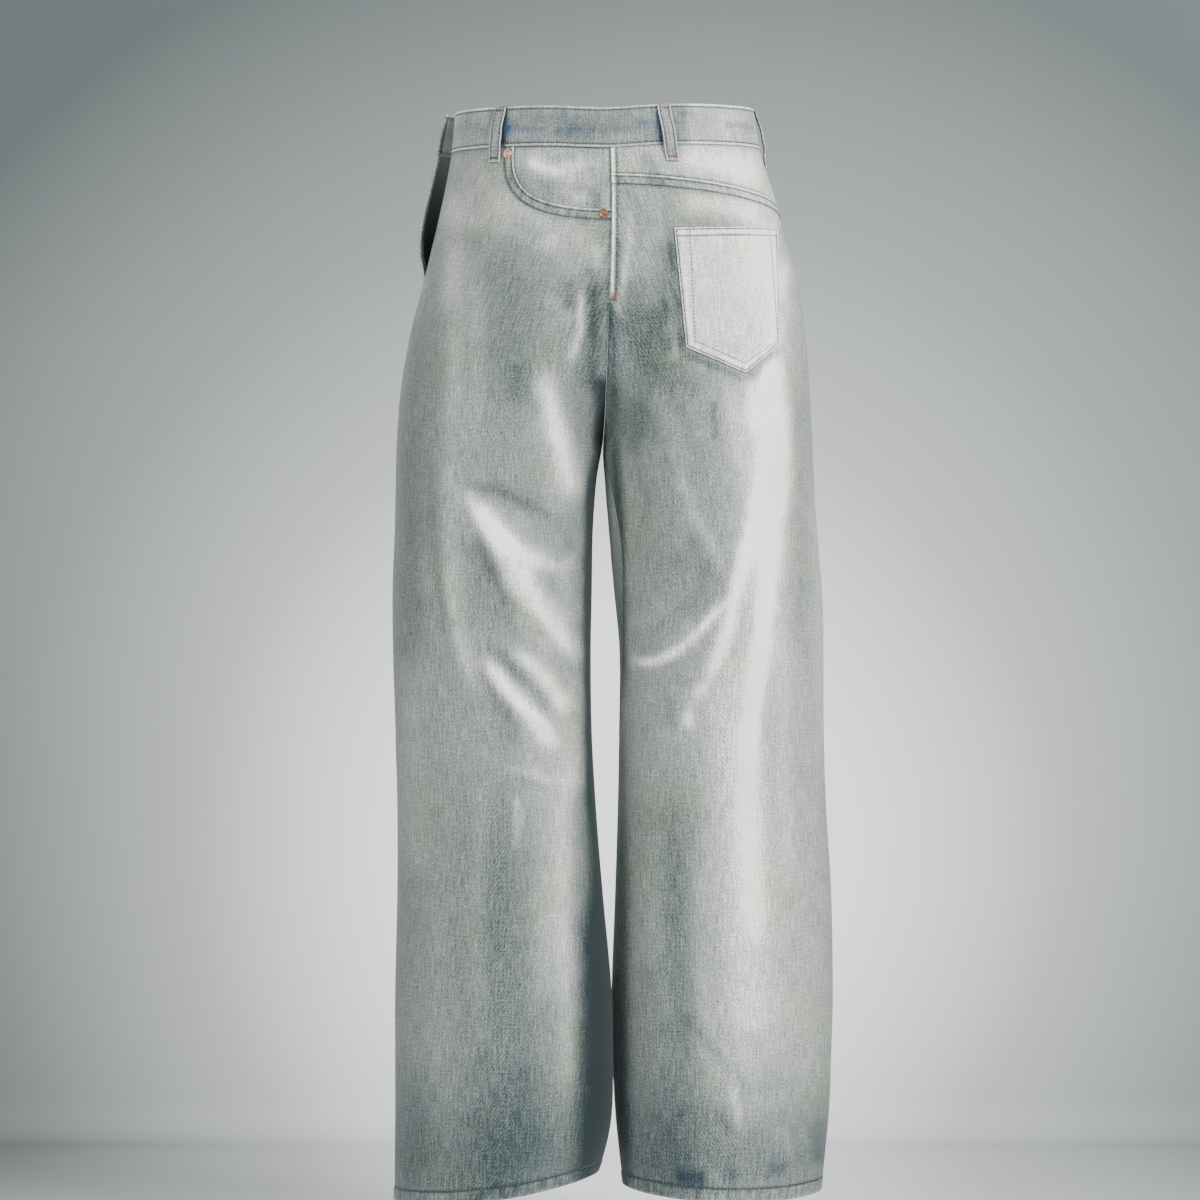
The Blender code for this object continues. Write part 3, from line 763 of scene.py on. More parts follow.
@dataclass
class Cloth:
    """One cut piece of cloth as a fine grid, from which its closed wall is made.

    Rows run from the top down, and columns from the side seam to the centre. across is the place
    along the weave. The marks are painted values: fade (paler from bleach, wear and
    painted highlights, darker from painted shade), blue (streaks) and lap (puckered seam). turned
    tells where an edge is turned in, so that the inner side shows the cloth's paler right side.
    """

    name: str
    outer: Array
    normal: Array
    wall: Array
    across: Array
    marks: dict[str, Array]
    flip: bool = False
    turned: Array | None = None

    def solid(self) -> bpy.types.Object:
        """Makes the closed wall between the outer points and those behind them.

        Returns:
            The new object.
        """
        rows, cols = self.wall.shape
        count = rows * cols
        inner = self.outer - self.normal * self.wall[..., None]
        points = np.concatenate([self.outer.reshape(-1, 3), inner.reshape(-1, 3)]) * MM
        index = np.arange(count).reshape(rows, cols)
        front = np.stack([index[:-1, :-1], index[1:, :-1], index[1:, 1:], index[:-1, 1:]], -1)
        front = front.reshape(-1, 4)
        loop = np.concatenate([index[:, 0], index[-1, 1:], index[-2::-1, -1], index[0, -2::-1]])
        start, end = loop[:-1], loop[1:]
        rim = np.stack([end, start, start + count, end + count], -1)
        faces = np.concatenate([front, front[:, ::-1] + count, rim])
        if self.flip:
            faces = faces[:, ::-1]
        mesh = bpy.data.meshes.new(self.name + "_cloth")
        mesh.from_pydata(points, [], faces.tolist())
        mesh.shade_smooth()
        corners = np.zeros(len(mesh.loops), np.int32)
        mesh.loops.foreach_get("vertex_index", corners)
        flat = np.stack([self.across, self.outer[..., 2]], -1).reshape(-1, 2) * MM
        flat = np.concatenate([flat, flat + INNER_SHIFT_M])
        layer = mesh.uv_layers.new(name="cloth")
        layer.data.foreach_set("uv", flat[corners].ravel().astype(np.float32))
        turned = self.turned.ravel() if self.turned is not None else np.zeros(count)
        inside = np.concatenate([np.zeros(count), 1 - turned])
        painted = {key: np.concatenate([value.ravel()] * 2) for key, value in self.marks.items()}
        painted["fade"][count:] += TURN_IN_PALE * turned
        for key, value in {**painted, "inside": inside}.items():
            made = mesh.attributes.new(key, "FLOAT", "POINT")
            made.data.foreach_set("value", value.astype(np.float32))
        return placed(self.name + "_cloth", mesh)


def grid_normals(points: Array, out: Array) -> Array:
    """Unit normals of a grid of points, turned the way that out points."""
    across = np.gradient(points, axis=1)
    down = np.gradient(points, axis=0)
    normal = np.cross(across, down)
    normal *= np.sign((normal * out).sum(-1, keepdims=True))
    return normal / np.maximum(np.linalg.norm(normal, axis=-1, keepdims=True), 1e-9)


def edge_bands(length: float, near: Sequence[float], step: float) -> Array:
    """Places along a length, close together at both ends and even between them.

    Args:
        length: The whole length.
        near: Distances from each end of the close places.
        step: Distance between the even ones.

    Returns:
        The places, from 0 to length.
    """
    low = np.array([d for d in near if d < 0.45 * length])
    inside = length - 2 * low[-1]
    middle = np.linspace(low[-1], length - low[-1], max(int(round(inside / step)), 1) + 1)[1:-1]
    return np.concatenate([low, middle, (length - low)[::-1]])


# Distances from a lapped edge at which the rows lie, so that its two stitch rows have their own
LAP_ROWS = (0.0, 0.4, 1.0, 1.8, 2.6, 3.1, 3.6, 4.6, 6.2, 8.0, 9.4, 10.2, 10.8, 12.0, 14.5)
SEAM_COLUMNS = (0.0, 0.4, 1.0, 1.8, 2.7, 3.3, 4.2, 6.2, 9.0)
HEM_ROWS = (17.0, 14.6, 13.6, 13.0, 12.4, 11.0, 9.0, 6.8, 4.6, 2.6, 1.2, 0.4, 0.0)
LAP_STITCHES = (3.1, 10.2)


@dataclass(frozen=True)
class Seam:
    """How a seam edge looks: a rounded fold that stands proud, with grooves where it is sewn."""

    proud: float = 0.75
    width: float = 11.4
    grooves: tuple[float, ...] = LAP_STITCHES
    groove_depth: float = 0.38
    worn: float = 0.34
    # How much painted shade darkens each sewn groove
    groove_shade: float = 0.36

    def relief(self, d: Array) -> Array:
        """How far the cloth stands proud at distances d from the edge."""
        raised = self.proud * smooth((self.width - d) / 1.6) - 0.45 * smooth(1 - d / EDGE_ROUND)
        for groove in self.grooves:
            raised = raised - self.groove_depth * bump((d - groove) / 0.75)
        return raised

    def fade(self, d: Array) -> Array:
        """How much paler the cloth is there: worn at the fold, with painted shade in the grooves, at the very
        edge and along the line where the lap ends.
        """
        pale = self.worn * bump((d - 1.1) / 0.9)
        # Painted shade darkens each sewn groove
        for groove in self.grooves:
            pale = pale - self.groove_shade * bump((d - groove) / 0.55)
        return pale - 0.3 * smooth((0.4 - d) / 0.4) - 0.10 * bump((d - self.width) / 1.2)


LAPPED = Seam()
NARROW_LAP = Seam(proud=0.65, width=3.9, grooves=(3.6,), groove_depth=0.12, worn=0.46, groove_shade=0.08)
# A plain seam shows only as a thin line of painted shade, its worn value being negative
PLAIN_SEAM = Seam(proud=0.0, width=1.0, grooves=(), worn=-0.16)
HEMMED = Seam(proud=0.6, width=13.4, grooves=(13.0,), groove_depth=0.5, worn=0.12, groove_shade=0.36)


class Thread(NamedTuple):
    """A sewing thread as it lies on the cloth."""

    radius: float = 0.42
    length: float = 3.0
    pitch: float = 3.7


class Run(NamedTuple):
    """A line that is sewn: points on the cloth and their outward directions."""

    points: Array
    out: Array


@dataclass
class Sewing:
    """Rows of stitches, gathered into one mesh for each part of the garment."""

    thread: Thread = Thread()
    sides: int = 5

    def sew(self, name: str, runs: Sequence[Run], finish: "ThreadFinish") -> bpy.types.Object:
        """Sews along each run.

        Args:
            name: Name of the new piece.
            runs: Lines to sew.
            finish: Finish of the thread.

        Returns:
            The mesh with all stitches.
        """
        rng = np.random.default_rng(5)
        stations = np.array([-0.5, -0.34, 0.34, 0.5])
        lift = np.array([-0.5, 0.55, 0.55, -0.5]) * self.thread.radius
        girth = np.array([0.55, 1.0, 1.0, 0.55]) * self.thread.radius
        turn = np.arange(self.sides) * 2 * math.pi / self.sides
        points, faces, base = [], [], 0
        for run in runs:
            steps = np.linalg.norm(np.diff(run.points, axis=0), axis=1)
            length = np.concatenate([[0], np.cumsum(steps)])
            count = max(int(length[-1] / self.thread.pitch), 1)
            centres = (np.arange(count) + 0.5) * length[-1] / count
            places = centres[:, None] + stations * self.thread.length
            at = np.stack([np.interp(places, length, run.points[:, k]) for k in range(3)], -1)
            out = np.stack([np.interp(places, length, run.out[:, k]) for k in range(3)], -1)
            ahead = at[:, -1:] - at[:, :1]
            ahead /= np.linalg.norm(ahead, axis=-1, keepdims=True)
            beside = np.cross(np.broadcast_to(ahead, out.shape), out)
            beside /= np.linalg.norm(beside, axis=-1, keepdims=True)
            at = at + out * lift[:, None] + beside * rng.uniform(-0.14, 0.14, (count, 1, 1))
            ring = (np.cos(turn)[:, None] * out[:, :, None] + np.sin(turn)[:, None] * beside[:, :, None])
            points.append((at[:, :, None] + ring * girth[:, None, None]).reshape(-1, 3))
            corner = np.arange(self.sides)
            following = (corner + 1) % self.sides
            for k in range(count):
                first = base + k * 4 * self.sides
                for s in range(3):
                    low, high = first + s * self.sides, first + (s + 1) * self.sides
                    faces += np.stack([low + corner, high + corner, high + following,
                                       low + following], -1).tolist()
                faces.append((first + corner).tolist())
                faces.append((first + 3 * self.sides + corner[::-1]).tolist())
            base += count * 4 * self.sides
        mesh = bpy.data.meshes.new(name)
        mesh.from_pydata(np.concatenate(points) * MM, [], faces)
        mesh.shade_smooth()
        piece = placed(name, mesh)
        mesh.materials.append(finish.material())
        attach(piece, "root")
        return piece


def linear(code: int) -> tuple[float, float, float, float]:
    """Turns an sRGB hex colour into the linear one that the shaders take."""
    parts = [((code >> shift) & 255) / 255 for shift in (16, 8, 0)]
    return (*[p / 12.92 if p <= 0.04045 else ((p + 0.055) / 1.055) ** 2.4 for p in parts], 1.0)


def put(tree: bpy.types.NodeTree, kind: str, inputs: dict[Any, Any], **settings: Any) -> Any:
    """Adds a node with its settings and links.

    Args:
        tree: Node tree that gets it.
        kind: The node's type.
        inputs: Value or socket for each input, by name or number.
        settings: The node's own properties.

    Returns:
        Its first output, from which its node can be reached.
    """
    made = tree.nodes.new(kind)
    for key, value in settings.items():
        setattr(made, key, value)
    for key, value in inputs.items():
        if isinstance(value, bpy.types.NodeSocket):
            tree.links.new(value, made.inputs[key])
        else:
            made.inputs[key].default_value = value
    return made.outputs[0] if made.outputs else made


def new_material(name: str) -> tuple[bpy.types.Material, bpy.types.NodeTree, bpy.types.Node]:
    """An empty material.

    Args:
        name: Its name.

    Returns:
        The material, its node tree and its Principled shader.
    """
    material = bpy.data.materials.new(name)
    material.use_nodes = True
    return material, material.node_tree, material.node_tree.nodes["Principled BSDF"]


def toned(tree: bpy.types.NodeTree, level: Any, stops: Sequence[tuple[float, int]]) -> Any:
    """Turns a level into colours along a ramp.

    Args:
        tree: Node tree that gets the ramp.
        level: Socket of the level.
        stops: Place and sRGB hex colour of each stop, in rising order.

    Returns:
        The socket of the colour.
    """
    ramp = tree.nodes.new("ShaderNodeValToRGB")
    elements = ramp.color_ramp.elements
    while len(elements) < len(stops):
        elements.new(0.5)
    for element, (place, _) in zip(elements, stops):
        element.position = place
    for element, (_, code) in zip(elements, stops):
        element.color = linear(code)
    tree.links.new(level, ramp.inputs["Fac"])
    return ramp.outputs["Color"]


def scales(sizes_mm: tuple[float, float]) -> tuple[float, float, float]:
    """The mapping scale at which a pattern has patches of these sizes."""
    return 1000 / sizes_mm[0], 1000 / sizes_mm[1], 1.0


@dataclass(frozen=True)
class DenimFinish:
    """Bleached cotton twill: matt, hairy, with slubs and a steep diagonal; the painted marks make it pale at
    every fold, from wear and painted highlights.
    """

    name: str = "bleached_twill"
    tones: tuple[tuple[float, int], ...] = (
        (0.0, 0x17262A), (0.2, 0x3B4747), (0.4, 0x646D6B), (0.6, 0x8B918D), (0.8, 0xB9BCB7),
        (1.0, 0xF8F9F4),
    )
    # The cloth's inner side is a dark teal: partly the cloth's back, partly painted shade for the dim inside
    # of the garment
    inside: int = 0x2A3538
    blue: int = 0x2C4468
    tint: int = 0xEDF0D4
    # The real twill line is about 1 mm wide, too fine to show, so it is drawn at this pitch
    twill_mm: float = 2.6
    slub_mm: tuple[float, float] = (1.5, 21.0)
    cloud_mm: float = 34.0
    weft_mm: tuple[float, float] = (15.0, 1.7)
    pucker_mm: tuple[float, float] = (4.6, 16.0)
    grain_mm: float = 2.0
    cast_mm: float = 90.0
    # How strongly the clouds, slubs, weft, grain and twill lines show
    strengths: tuple[float, ...] = (0.12, 0.48, 0.22, 0.70, 0.08)

    def material(self) -> bpy.types.Material:
        """Builds the material once and returns it.

        Returns:
            The material.
        """
        known = bpy.data.materials.get(self.name)
        if known:
            return known
        material, tree, shader = new_material(self.name)
        cloth = put(tree, "ShaderNodeUVMap", {}, uv_map="cloth")
        fade = put(tree, "ShaderNodeAttribute", {}, attribute_name="fade").node.outputs["Fac"]
        blue = put(tree, "ShaderNodeAttribute", {}, attribute_name="blue").node.outputs["Fac"]
        lap = put(tree, "ShaderNodeAttribute", {}, attribute_name="lap").node.outputs["Fac"]
        within = put(tree, "ShaderNodeAttribute", {}, attribute_name="inside").node.outputs["Fac"]
        # Slubs: thicker warp yarns that took less bleach, longer than they are wide
        stretched = put(tree, "ShaderNodeMapping", {
            "Vector": cloth, "Scale": scales(self.slub_mm)})
        slub = put(tree, "ShaderNodeTexNoise", {"Vector": stretched, "Scale": 1.0, "Detail": 2.0})
        crossed = put(tree, "ShaderNodeMapping", {
            "Vector": cloth, "Scale": scales(self.weft_mm)})
        weft = put(tree, "ShaderNodeTexNoise", {"Vector": crossed, "Scale": 1.0, "Detail": 2.0})
        cloud = put(tree, "ShaderNodeTexNoise", {
            "Vector": cloth, "Scale": 1000 / self.cloud_mm, "Detail": 4.0, "Roughness": 0.6})
        grain = put(tree, "ShaderNodeTexNoise", {
            "Vector": cloth, "Scale": 1000 / self.grain_mm, "Detail": 2.0, "Roughness": 0.75})
        # Twill: the lines climb steeply to the right, broken up by the yarns
        turned = put(tree, "ShaderNodeMapping", {"Vector": cloth, "Rotation": (0, 0, math.radians(28))})
        twill = put(tree, "ShaderNodeTexWave", {
            "Vector": turned, "Scale": WAVE_PITCH * 1000 / self.twill_mm, "Distortion": 2.2, "Detail": 2.0,
            "Detail Scale": 1.6}, wave_type="BANDS", bands_direction="X")
        # Puckers of a lapped seam, slanted between its two rows of stitches
        slanted = put(tree, "ShaderNodeMapping", {
            "Vector": cloth, "Rotation": (0, 0, math.radians(-32)), "Scale": scales(self.pucker_mm)})
        pucker = put(tree, "ShaderNodeTexNoise", {"Vector": slanted, "Scale": 1.0, "Detail": 1.0})
        level = fade
        for wave, weight in zip((cloud, slub, weft, grain, twill), self.strengths):
            centred = put(tree, "ShaderNodeMath", {0: wave, 1: 0.5}, operation="SUBTRACT")
            level = put(tree, "ShaderNodeMath", {0: centred, 1: weight, 2: level},
                        operation="MULTIPLY_ADD")
        wrinkled = put(tree, "ShaderNodeMath", {0: pucker, 1: 0.5}, operation="SUBTRACT")
        wrinkled = put(tree, "ShaderNodeMath", {0: wrinkled, 1: lap}, operation="MULTIPLY")
        level = put(tree, "ShaderNodeMath", {0: wrinkled, 1: 0.55, 2: level}, operation="MULTIPLY_ADD")
        # A faint yellow-green cast comes and goes in large soft patches
        cast = put(tree, "ShaderNodeTexNoise", {"Vector": cloth, "Scale": 1000 / self.cast_mm, "Detail": 2.0})
        cast = put(tree, "ShaderNodeMapRange", {
            "Value": cast, "From Min": 0.45, "From Max": 0.72, "To Min": 0.0, "To Max": 0.48})
        colour = put(tree, "ShaderNodeMix", {
            "Factor": cast, "A": toned(tree, level, self.tones), "B": linear(self.tint)},
            data_type="RGBA", blend_type="MULTIPLY").node
        colour = self.colour_of(colour)
        spot = put(tree, "ShaderNodeMapRange", {
            "Value": cloud, "From Min": 0.3, "From Max": 0.65, "To Min": 0.35, "To Max": 1.25})
        depth = put(tree, "ShaderNodeMath", {0: blue, 1: spot}, operation="MULTIPLY", use_clamp=True)
        mixed = put(tree, "ShaderNodeMix", {}, data_type="RGBA").node
        self.join(tree, mixed, depth, colour, linear(self.blue))
        # The inner side takes the dark teal, partly painted shade for the garment's dim inside
        dark = put(tree, "ShaderNodeMath", {0: within, 1: 0.92}, operation="MULTIPLY")
        final = put(tree, "ShaderNodeMix", {}, data_type="RGBA").node
        self.join(tree, final, dark, self.colour_of(mixed), linear(self.inside))
        tree.links.new(self.colour_of(final), shader.inputs["Base Color"])
        height = put(tree, "ShaderNodeMath", {0: slub, 1: 0.6, 2: twill}, operation="MULTIPLY_ADD")
        height = put(tree, "ShaderNodeMath", {0: grain, 1: 0.9, 2: height}, operation="MULTIPLY_ADD")
        height = put(tree, "ShaderNodeMath", {0: wrinkled, 1: 3.5, 2: height}, operation="MULTIPLY_ADD")
        relief = put(tree, "ShaderNodeBump", {"Height": height, "Strength": 0.55, "Distance": 0.0005})
        tree.links.new(relief, shader.inputs["Normal"])
        shader.inputs["Roughness"].default_value = 0.92
        shader.inputs["Specular IOR Level"].default_value = 0.25
        shader.inputs["Sheen Weight"].default_value = 0.08
        shader.inputs["Sheen Roughness"].default_value = 0.55
        return material

    @staticmethod
    def colour_of(mix: bpy.types.Node) -> bpy.types.NodeSocket:
        """The colour output of a Mix node."""
        return next(s for s in mix.outputs if s.type == "RGBA")

    @staticmethod
    def join(tree: bpy.types.NodeTree, mix: bpy.types.Node, share: Any, a: Any, b: Any) -> None:
        """Feeds a colour Mix node.

        Args:
            tree: Node tree of the node.
            mix: The Mix node.
            share: Socket of the share.
            a: Socket of the first colour.
            b: The second colour.
        """
        tree.links.new(share, mix.inputs["Factor"])
        colours = [s for s in mix.inputs if s.type == "RGBA"]
        tree.links.new(a, colours[0])
        colours[1].default_value = b


@dataclass(frozen=True)
class ThreadFinish:
    """Core-spun sewing thread after the bleach: matt, twisted, darker than the cloth."""

    name: str
    colour: int
    worn: int

    def material(self) -> bpy.types.Material:
        """Builds the material once and returns it.

        Returns:
            The material.
        """
        known = bpy.data.materials.get(self.name)
        if known:
            return known
        material, tree, shader = new_material(self.name)
        place = put(tree, "ShaderNodeTexCoord", {}).node.outputs["Object"]
        patch = put(tree, "ShaderNodeTexNoise", {"Vector": place, "Scale": 1000 / 9.0, "Detail": 2.0})
        twist = put(tree, "ShaderNodeTexWave", {"Vector": place, "Scale": WAVE_PITCH * 1000 / 0.6},
                    wave_type="BANDS", bands_direction="DIAGONAL")
        tones = toned(tree, patch, ((0.35, self.colour), (0.7, self.worn)))
        tree.links.new(tones, shader.inputs["Base Color"])
        relief = put(tree, "ShaderNodeBump", {"Height": twist, "Strength": 0.5, "Distance": 0.0002})
        tree.links.new(relief, shader.inputs["Normal"])
        shader.inputs["Roughness"].default_value = 0.7
        shader.inputs["Sheen Weight"].default_value = 0.15
        return material


@dataclass(frozen=True)
class CopperFinish:
    """Copper-plated steel rivet, stamped and worn: dull brown in its hollows, bright on its rims."""

    name: str
    bright: int
    dull: int

    def material(self) -> bpy.types.Material:
        """Builds the material.

        Returns:
            The material.
        """
        material, tree, shader = new_material(self.name)
        place = put(tree, "ShaderNodeTexCoord", {}).node.outputs["Object"]
        tarnish = put(tree, "ShaderNodeTexNoise", {
            "Vector": place, "Scale": 1000 / 2.2, "Detail": 4.0, "Roughness": 0.65})
        scratch = put(tree, "ShaderNodeTexNoise", {"Vector": place, "Scale": 1000 / 0.5, "Detail": 2.0})
        tones = toned(tree, tarnish, ((0.4, self.dull), (0.62, self.bright)))
        tree.links.new(tones, shader.inputs["Base Color"])
        rough = put(tree, "ShaderNodeMapRange", {"Value": tarnish, "To Min": 0.62, "To Max": 0.34})
        tree.links.new(rough, shader.inputs["Roughness"])
        relief = put(tree, "ShaderNodeBump", {"Height": scratch, "Strength": 0.25, "Distance": 0.0002})
        tree.links.new(relief, shader.inputs["Normal"])
        shader.inputs["Metallic"].default_value = 0.85
        return material


DENIM = DenimFinish()
BAND_DENIM = DenimFinish(name="bleached_twill_band", cloud_mm=26.0)
FACING_DENIM = DenimFinish(name="bleached_twill_facing", cloud_mm=22.0)
GREY_THREAD = ThreadFinish("grey_green_thread", 0x2C3838, 0x4E5C5A)
RUST_THREAD = ThreadFinish("rust_thread", 0x8C4630, 0xB98472)
COPPER_THREAD = ThreadFinish("copper_brown_thread", 0x5E2E1C, 0x9A5638)
PINK_COPPER = CopperFinish("pink_copper", 0xE2B7AA, 0xB57F70)
DARK_COPPER = CopperFinish("dark_copper", 0xA67664, 0x5A3428)


# Strokes narrower than this have ragged edges
BROAD_STROKE = 13.0
# How much paler a ridge is, from wear and a painted highlight, and how much darker a trough, a painted shade,
# for each mm of its height
RIDGE_WEAR_AND_HIGHLIGHT = 0.05
TROUGH_SHADE = 0.028


def paint(side: Side, face: Face, x: Array, z: Array, base: float = 0.5) -> dict[str, Array]:
    """The painted values of a quarter's cloth at places.

    Args:
        side: Half of the garment.
        face: Front or back.
        x: Across values.
        z: Heights.
        base: How pale the cloth is where nothing is painted.

    Returns:
        The marks fade, blue and lap.
    """
    # The right half is painted paler overall: painted light, as the lamp falls more on it
    fade = np.full(x.shape, base + (0.05 if side == RIGHT else 0.0))
    blue = np.zeros(x.shape)
    # The warp yarns took the bleach unevenly, so a narrow streak's edges are ragged, painted highlights and
    # shade included
    ragged = 1 + 0.14 * FORM.mottle.at(x / 4.3, z / 33) + 0.10 * FORM.mottle.at(x / 9 + 5.5, z / 14)
    for stroke in STROKES[side, face]:
        t, off = along(through(stroke.path), x, z)
        share = between(t, 0.1, 0.25) * bump(off / stroke.width)
        if stroke.width < BROAD_STROKE:
            share = share * ragged
        fade += stroke.amount * share
        blue += stroke.blue * share
    # Crease ridges are painted paler, for wear and a highlight, and troughs darker, a painted shade
    for crease in CREASES[side, face]:
        t, off = along(through(crease.path), x, z)
        share = between(t, 0.1, 0.3) * bump(off / crease.width)
        fade += (RIDGE_WEAR_AND_HIGHLIGHT if crease.height > 0 else TROUGH_SHADE) * crease.height * share
    return {"fade": fade, "blue": blue, "lap": np.zeros(x.shape)}


@dataclass
class LegPanel:
    """A front or back leg panel, from the waist, yoke or pocket mouth down to its turned-up hem."""

    name: str
    side: Side
    face: Face
    cut: tuple[float, float]
    area: float
    top: Seam = LAPPED
    wall: float = 1.5
    hem_wall: float = 2.7
    column_step: float = 3.4
    row_step: float = 3.6
    number: int = 0

    def top_line(self, f: Array) -> Array:
        """Heights of the panel's upper edge."""
        if self.side == RIGHT:
            return FORM.yoke_line(f) - HALF_GAP
        return FORM.waist_line(self.side, self.face, f) - HALF_GAP

    def columns(self, z: float, count: int) -> Array:
        """The f of each column at a height, spaced by the length of cloth.

        Args:
            z: Height.
            count: Number of columns that every row has.

        Returns:
            The f values.
        """
        f, arc = FORM.arcs(self.side, self.face, z)
        near = np.array(SEAM_COLUMNS)
        inner = np.linspace(near[-1], arc[-1] - near[-1], count - 2 * len(near) + 2)[1:-1]
        places = np.concatenate([near, inner, (arc[-1] - near)[::-1]])
        return np.interp(places, arc, f)

    def rows(self, count: int) -> tuple[Array, Array, Array]:
        """All rows of the panel, from the top down.

        Args:
            count: Number of columns.

        Returns:
            f, z and the distance from the upper edge, each with a row of columns for each row.
        """
        rows_f, rows_z = [], []
        start = self.columns(FORM.waist_z if self.side == LEFT else -65.0, count)
        line = self.top_line(start)
        for d in LAP_ROWS:
            rows_f.append(start)
            rows_z.append(line - d)
        low = line - LAP_ROWS[-1]
        joined = self.columns(FORM.join_z, count)
        steps = int(round(float(np.mean(low - FORM.join_z)) / self.row_step))
        for k in range(1, steps):
            share = k / steps
            rows_f.append(start * (1 - share) + joined * share)
            rows_z.append(low * (1 - share) + FORM.join_z * share)
        return self.lower_rows(rows_f, rows_z, count)

    def lower_rows(self, rows_f: list[Array], rows_z: list[Array],
                   count: int) -> tuple[Array, Array, Array]:
        """Adds the level rows and those of the hem.

        Args:
            rows_f: The f of each row so far, which are added to.
            rows_z: The z of each row so far, which are added to.
            count: Number of columns.

        Returns:
            All f and z, and the distance of each place above the hem edge.
        """
        steps = int(round((FORM.join_z - FORM.hem_block_z) / self.row_step))
        for z in np.linspace(FORM.join_z, FORM.hem_block_z, steps + 1):
            f = self.columns(float(z), count)
            rows_f.append(f)
            rows_z.append(np.full(count, z))
        low = FORM.hem_line(self.side, f)
        high = low + HEM_ROWS[0] + 4
        for k in range(1, 8):
            share = k / 7
            rows_f.append(f)
            rows_z.append(FORM.hem_block_z * (1 - share) + high * share)
        for d in HEM_ROWS:
            rows_f.append(f)
            rows_z.append(low + d)
        all_f, all_z = np.array(rows_f), np.array(rows_z)
        return all_f, all_z, all_z - low

    def edge_distance(self, f: Array, z: Array) -> Array:
        """Distances from the upper edge, measured on the cloth."""
        slope = np.gradient(self.top_line(f[0]), FORM.arcs(self.side, self.face, -60.0)[1][-1] * f[0])
        return (self.top_line(f) - z) / np.hypot(1, slope)

    def skin(self, f: Array, z: Array, from_top: Array, from_hem: Array) -> dict[str, Array]:
        """Points of the panel with its seams, and its painted marks.

        Args:
            f: Places across.
            z: Heights.
            from_top: Distances from the upper edge.
            from_hem: Distances above the hem edge.

        Returns:
            The arrays outer, out, wall and arc, and the marks.
        """
        point, out = FORM.at(self.side, self.face, f, z)
        girth = np.array([FORM.arcs(self.side, self.face, level)[1][-1] for level in
                          np.linspace(-20, -1070, 60)])
        total = np.interp(-z, np.linspace(20, 1070, 60), girth)
        arc = f * total
        from_centre = total - arc
        marks = paint(self.side, self.face, point[..., 0], z)
        fade, quarter = marks["fade"], (self.side, self.face)
        raised = self.top.relief(from_top) + HEMMED.relief(from_hem)
        fade += self.top.fade(from_top) + HEMMED.fade(from_hem)
        # The right front's centre edge is a narrow ridge down to the bar tack; below it, and on the other
        # quarters, the centre seam and the inseam are a thin line of painted shade
        ridge = smooth((z + 176) / 8) * (quarter == (RIGHT, FRONT))
        raised += NARROW_LAP.relief(from_centre) * ridge
        fade += NARROW_LAP.fade(from_centre) * ridge - 0.2 * bump(from_centre / 1.5) * (1 - ridge)
        # The side seam is worn pale, and more so along the open placket
        open_edge = 0.3 * smooth((z + 150) / 6) * (quarter == (LEFT, FRONT))
        fade += (0.16 + open_edge) * bump((arc - 1.5) / 2.0)
        # The right leg's inseam shows as a pale line over the shin
        pale = smooth((-z - 700) / 30) * smooth((z + 1000) / 30) * (self.side == RIGHT)
        fade += 0.55 * bump((from_centre - 0.8) / 1.1) * pale
        lapped = smooth((11 - from_top) / 2) * smooth(from_top / 2) * (self.top.width > 5)
        marks["lap"] = lapped + 0.8 * smooth((13 - from_hem) / 2)
        # The hem is doubled, and ropes a little between its edge and its stitches
        thick = smooth((13.6 - from_hem) / 1.0)
        roping = FORM.mottle.at(arc / 9 + from_hem / 14, z * 0 + 3.3) * 0.45 * thick
        raised = raised + roping * smooth((13 - from_hem) / 4)
        outer = point + out * raised[..., None]
        wall = self.wall + (self.hem_wall - self.wall) * thick
        return {"outer": outer, "out": out, "wall": wall, "arc": arc, "marks": marks}

    def build(self) -> bpy.types.Object:
        """Builds and dresses the panel.

        Returns:
            The panel.
        """
        widest = FORM.arcs(self.side, self.face, -900.0)[1][-1]
        count = int(widest / self.column_step)
        f, z, from_hem = self.rows(count)
        from_top = self.edge_distance(f, z)
        made = self.skin(f, z, from_top, from_hem)
        across = made["arc"] + WEAVE_STEP * self.number
        cloth = Cloth(self.name, made["outer"], grid_normals(made["outer"], made["out"]), made["wall"],
                      across, made["marks"], self.side * self.face < 0, self.turned(made["arc"], z))
        return dress(cloth.solid(), DENIM, self.name)

    def turned(self, arc: Array, z: Array) -> Array:
        """Where the open placket's rear edge is turned in, from 0 to 1."""
        if (self.side, self.face) != (LEFT, BACK):
            return np.zeros(np.shape(arc))
        reach = 15.0 + 7.0 * smooth((-z - 100) / 30)
        return smooth((reach - arc) / 2) * smooth((z + 156) / 6)

    def placket_run(self) -> Run:
        """The stitches along the placket's rear edge, on the wearer's side of the cloth."""
        z = np.linspace(-24, -146, 90)
        total = np.array([FORM.arcs(self.side, self.face, level)[1][-1] for level in z])
        point, out = FORM.at(self.side, self.face, 9.5 / total, z)
        return Run(point - out * (self.wall + 0.1), -out)

    def hem_run(self) -> Run:
        """The hem's row of stitches."""
        f = np.linspace(0.004, 0.996, 160)
        z = FORM.hem_line(self.side, f) + 13.0
        made = self.skin(f, z, np.full(f.shape, FAR), np.full(f.shape, 13.0))
        return Run(made["outer"], made["out"])

    def top_runs(self) -> list[Run]:
        """The two rows of stitches of the lapped upper edge."""
        runs = []
        f = np.linspace(0.004, 0.99, 160)
        line = self.top_line(f)
        slope = np.gradient(line, FORM.arcs(self.side, self.face, -60.0)[1][-1] * f)
        for d in self.top.grooves:
            z = line - d * np.hypot(1, slope)
            made = self.skin(f, z, np.full(f.shape, d), np.full(f.shape, FAR))
            runs.append(Run(made["outer"], made["out"]))
        return runs


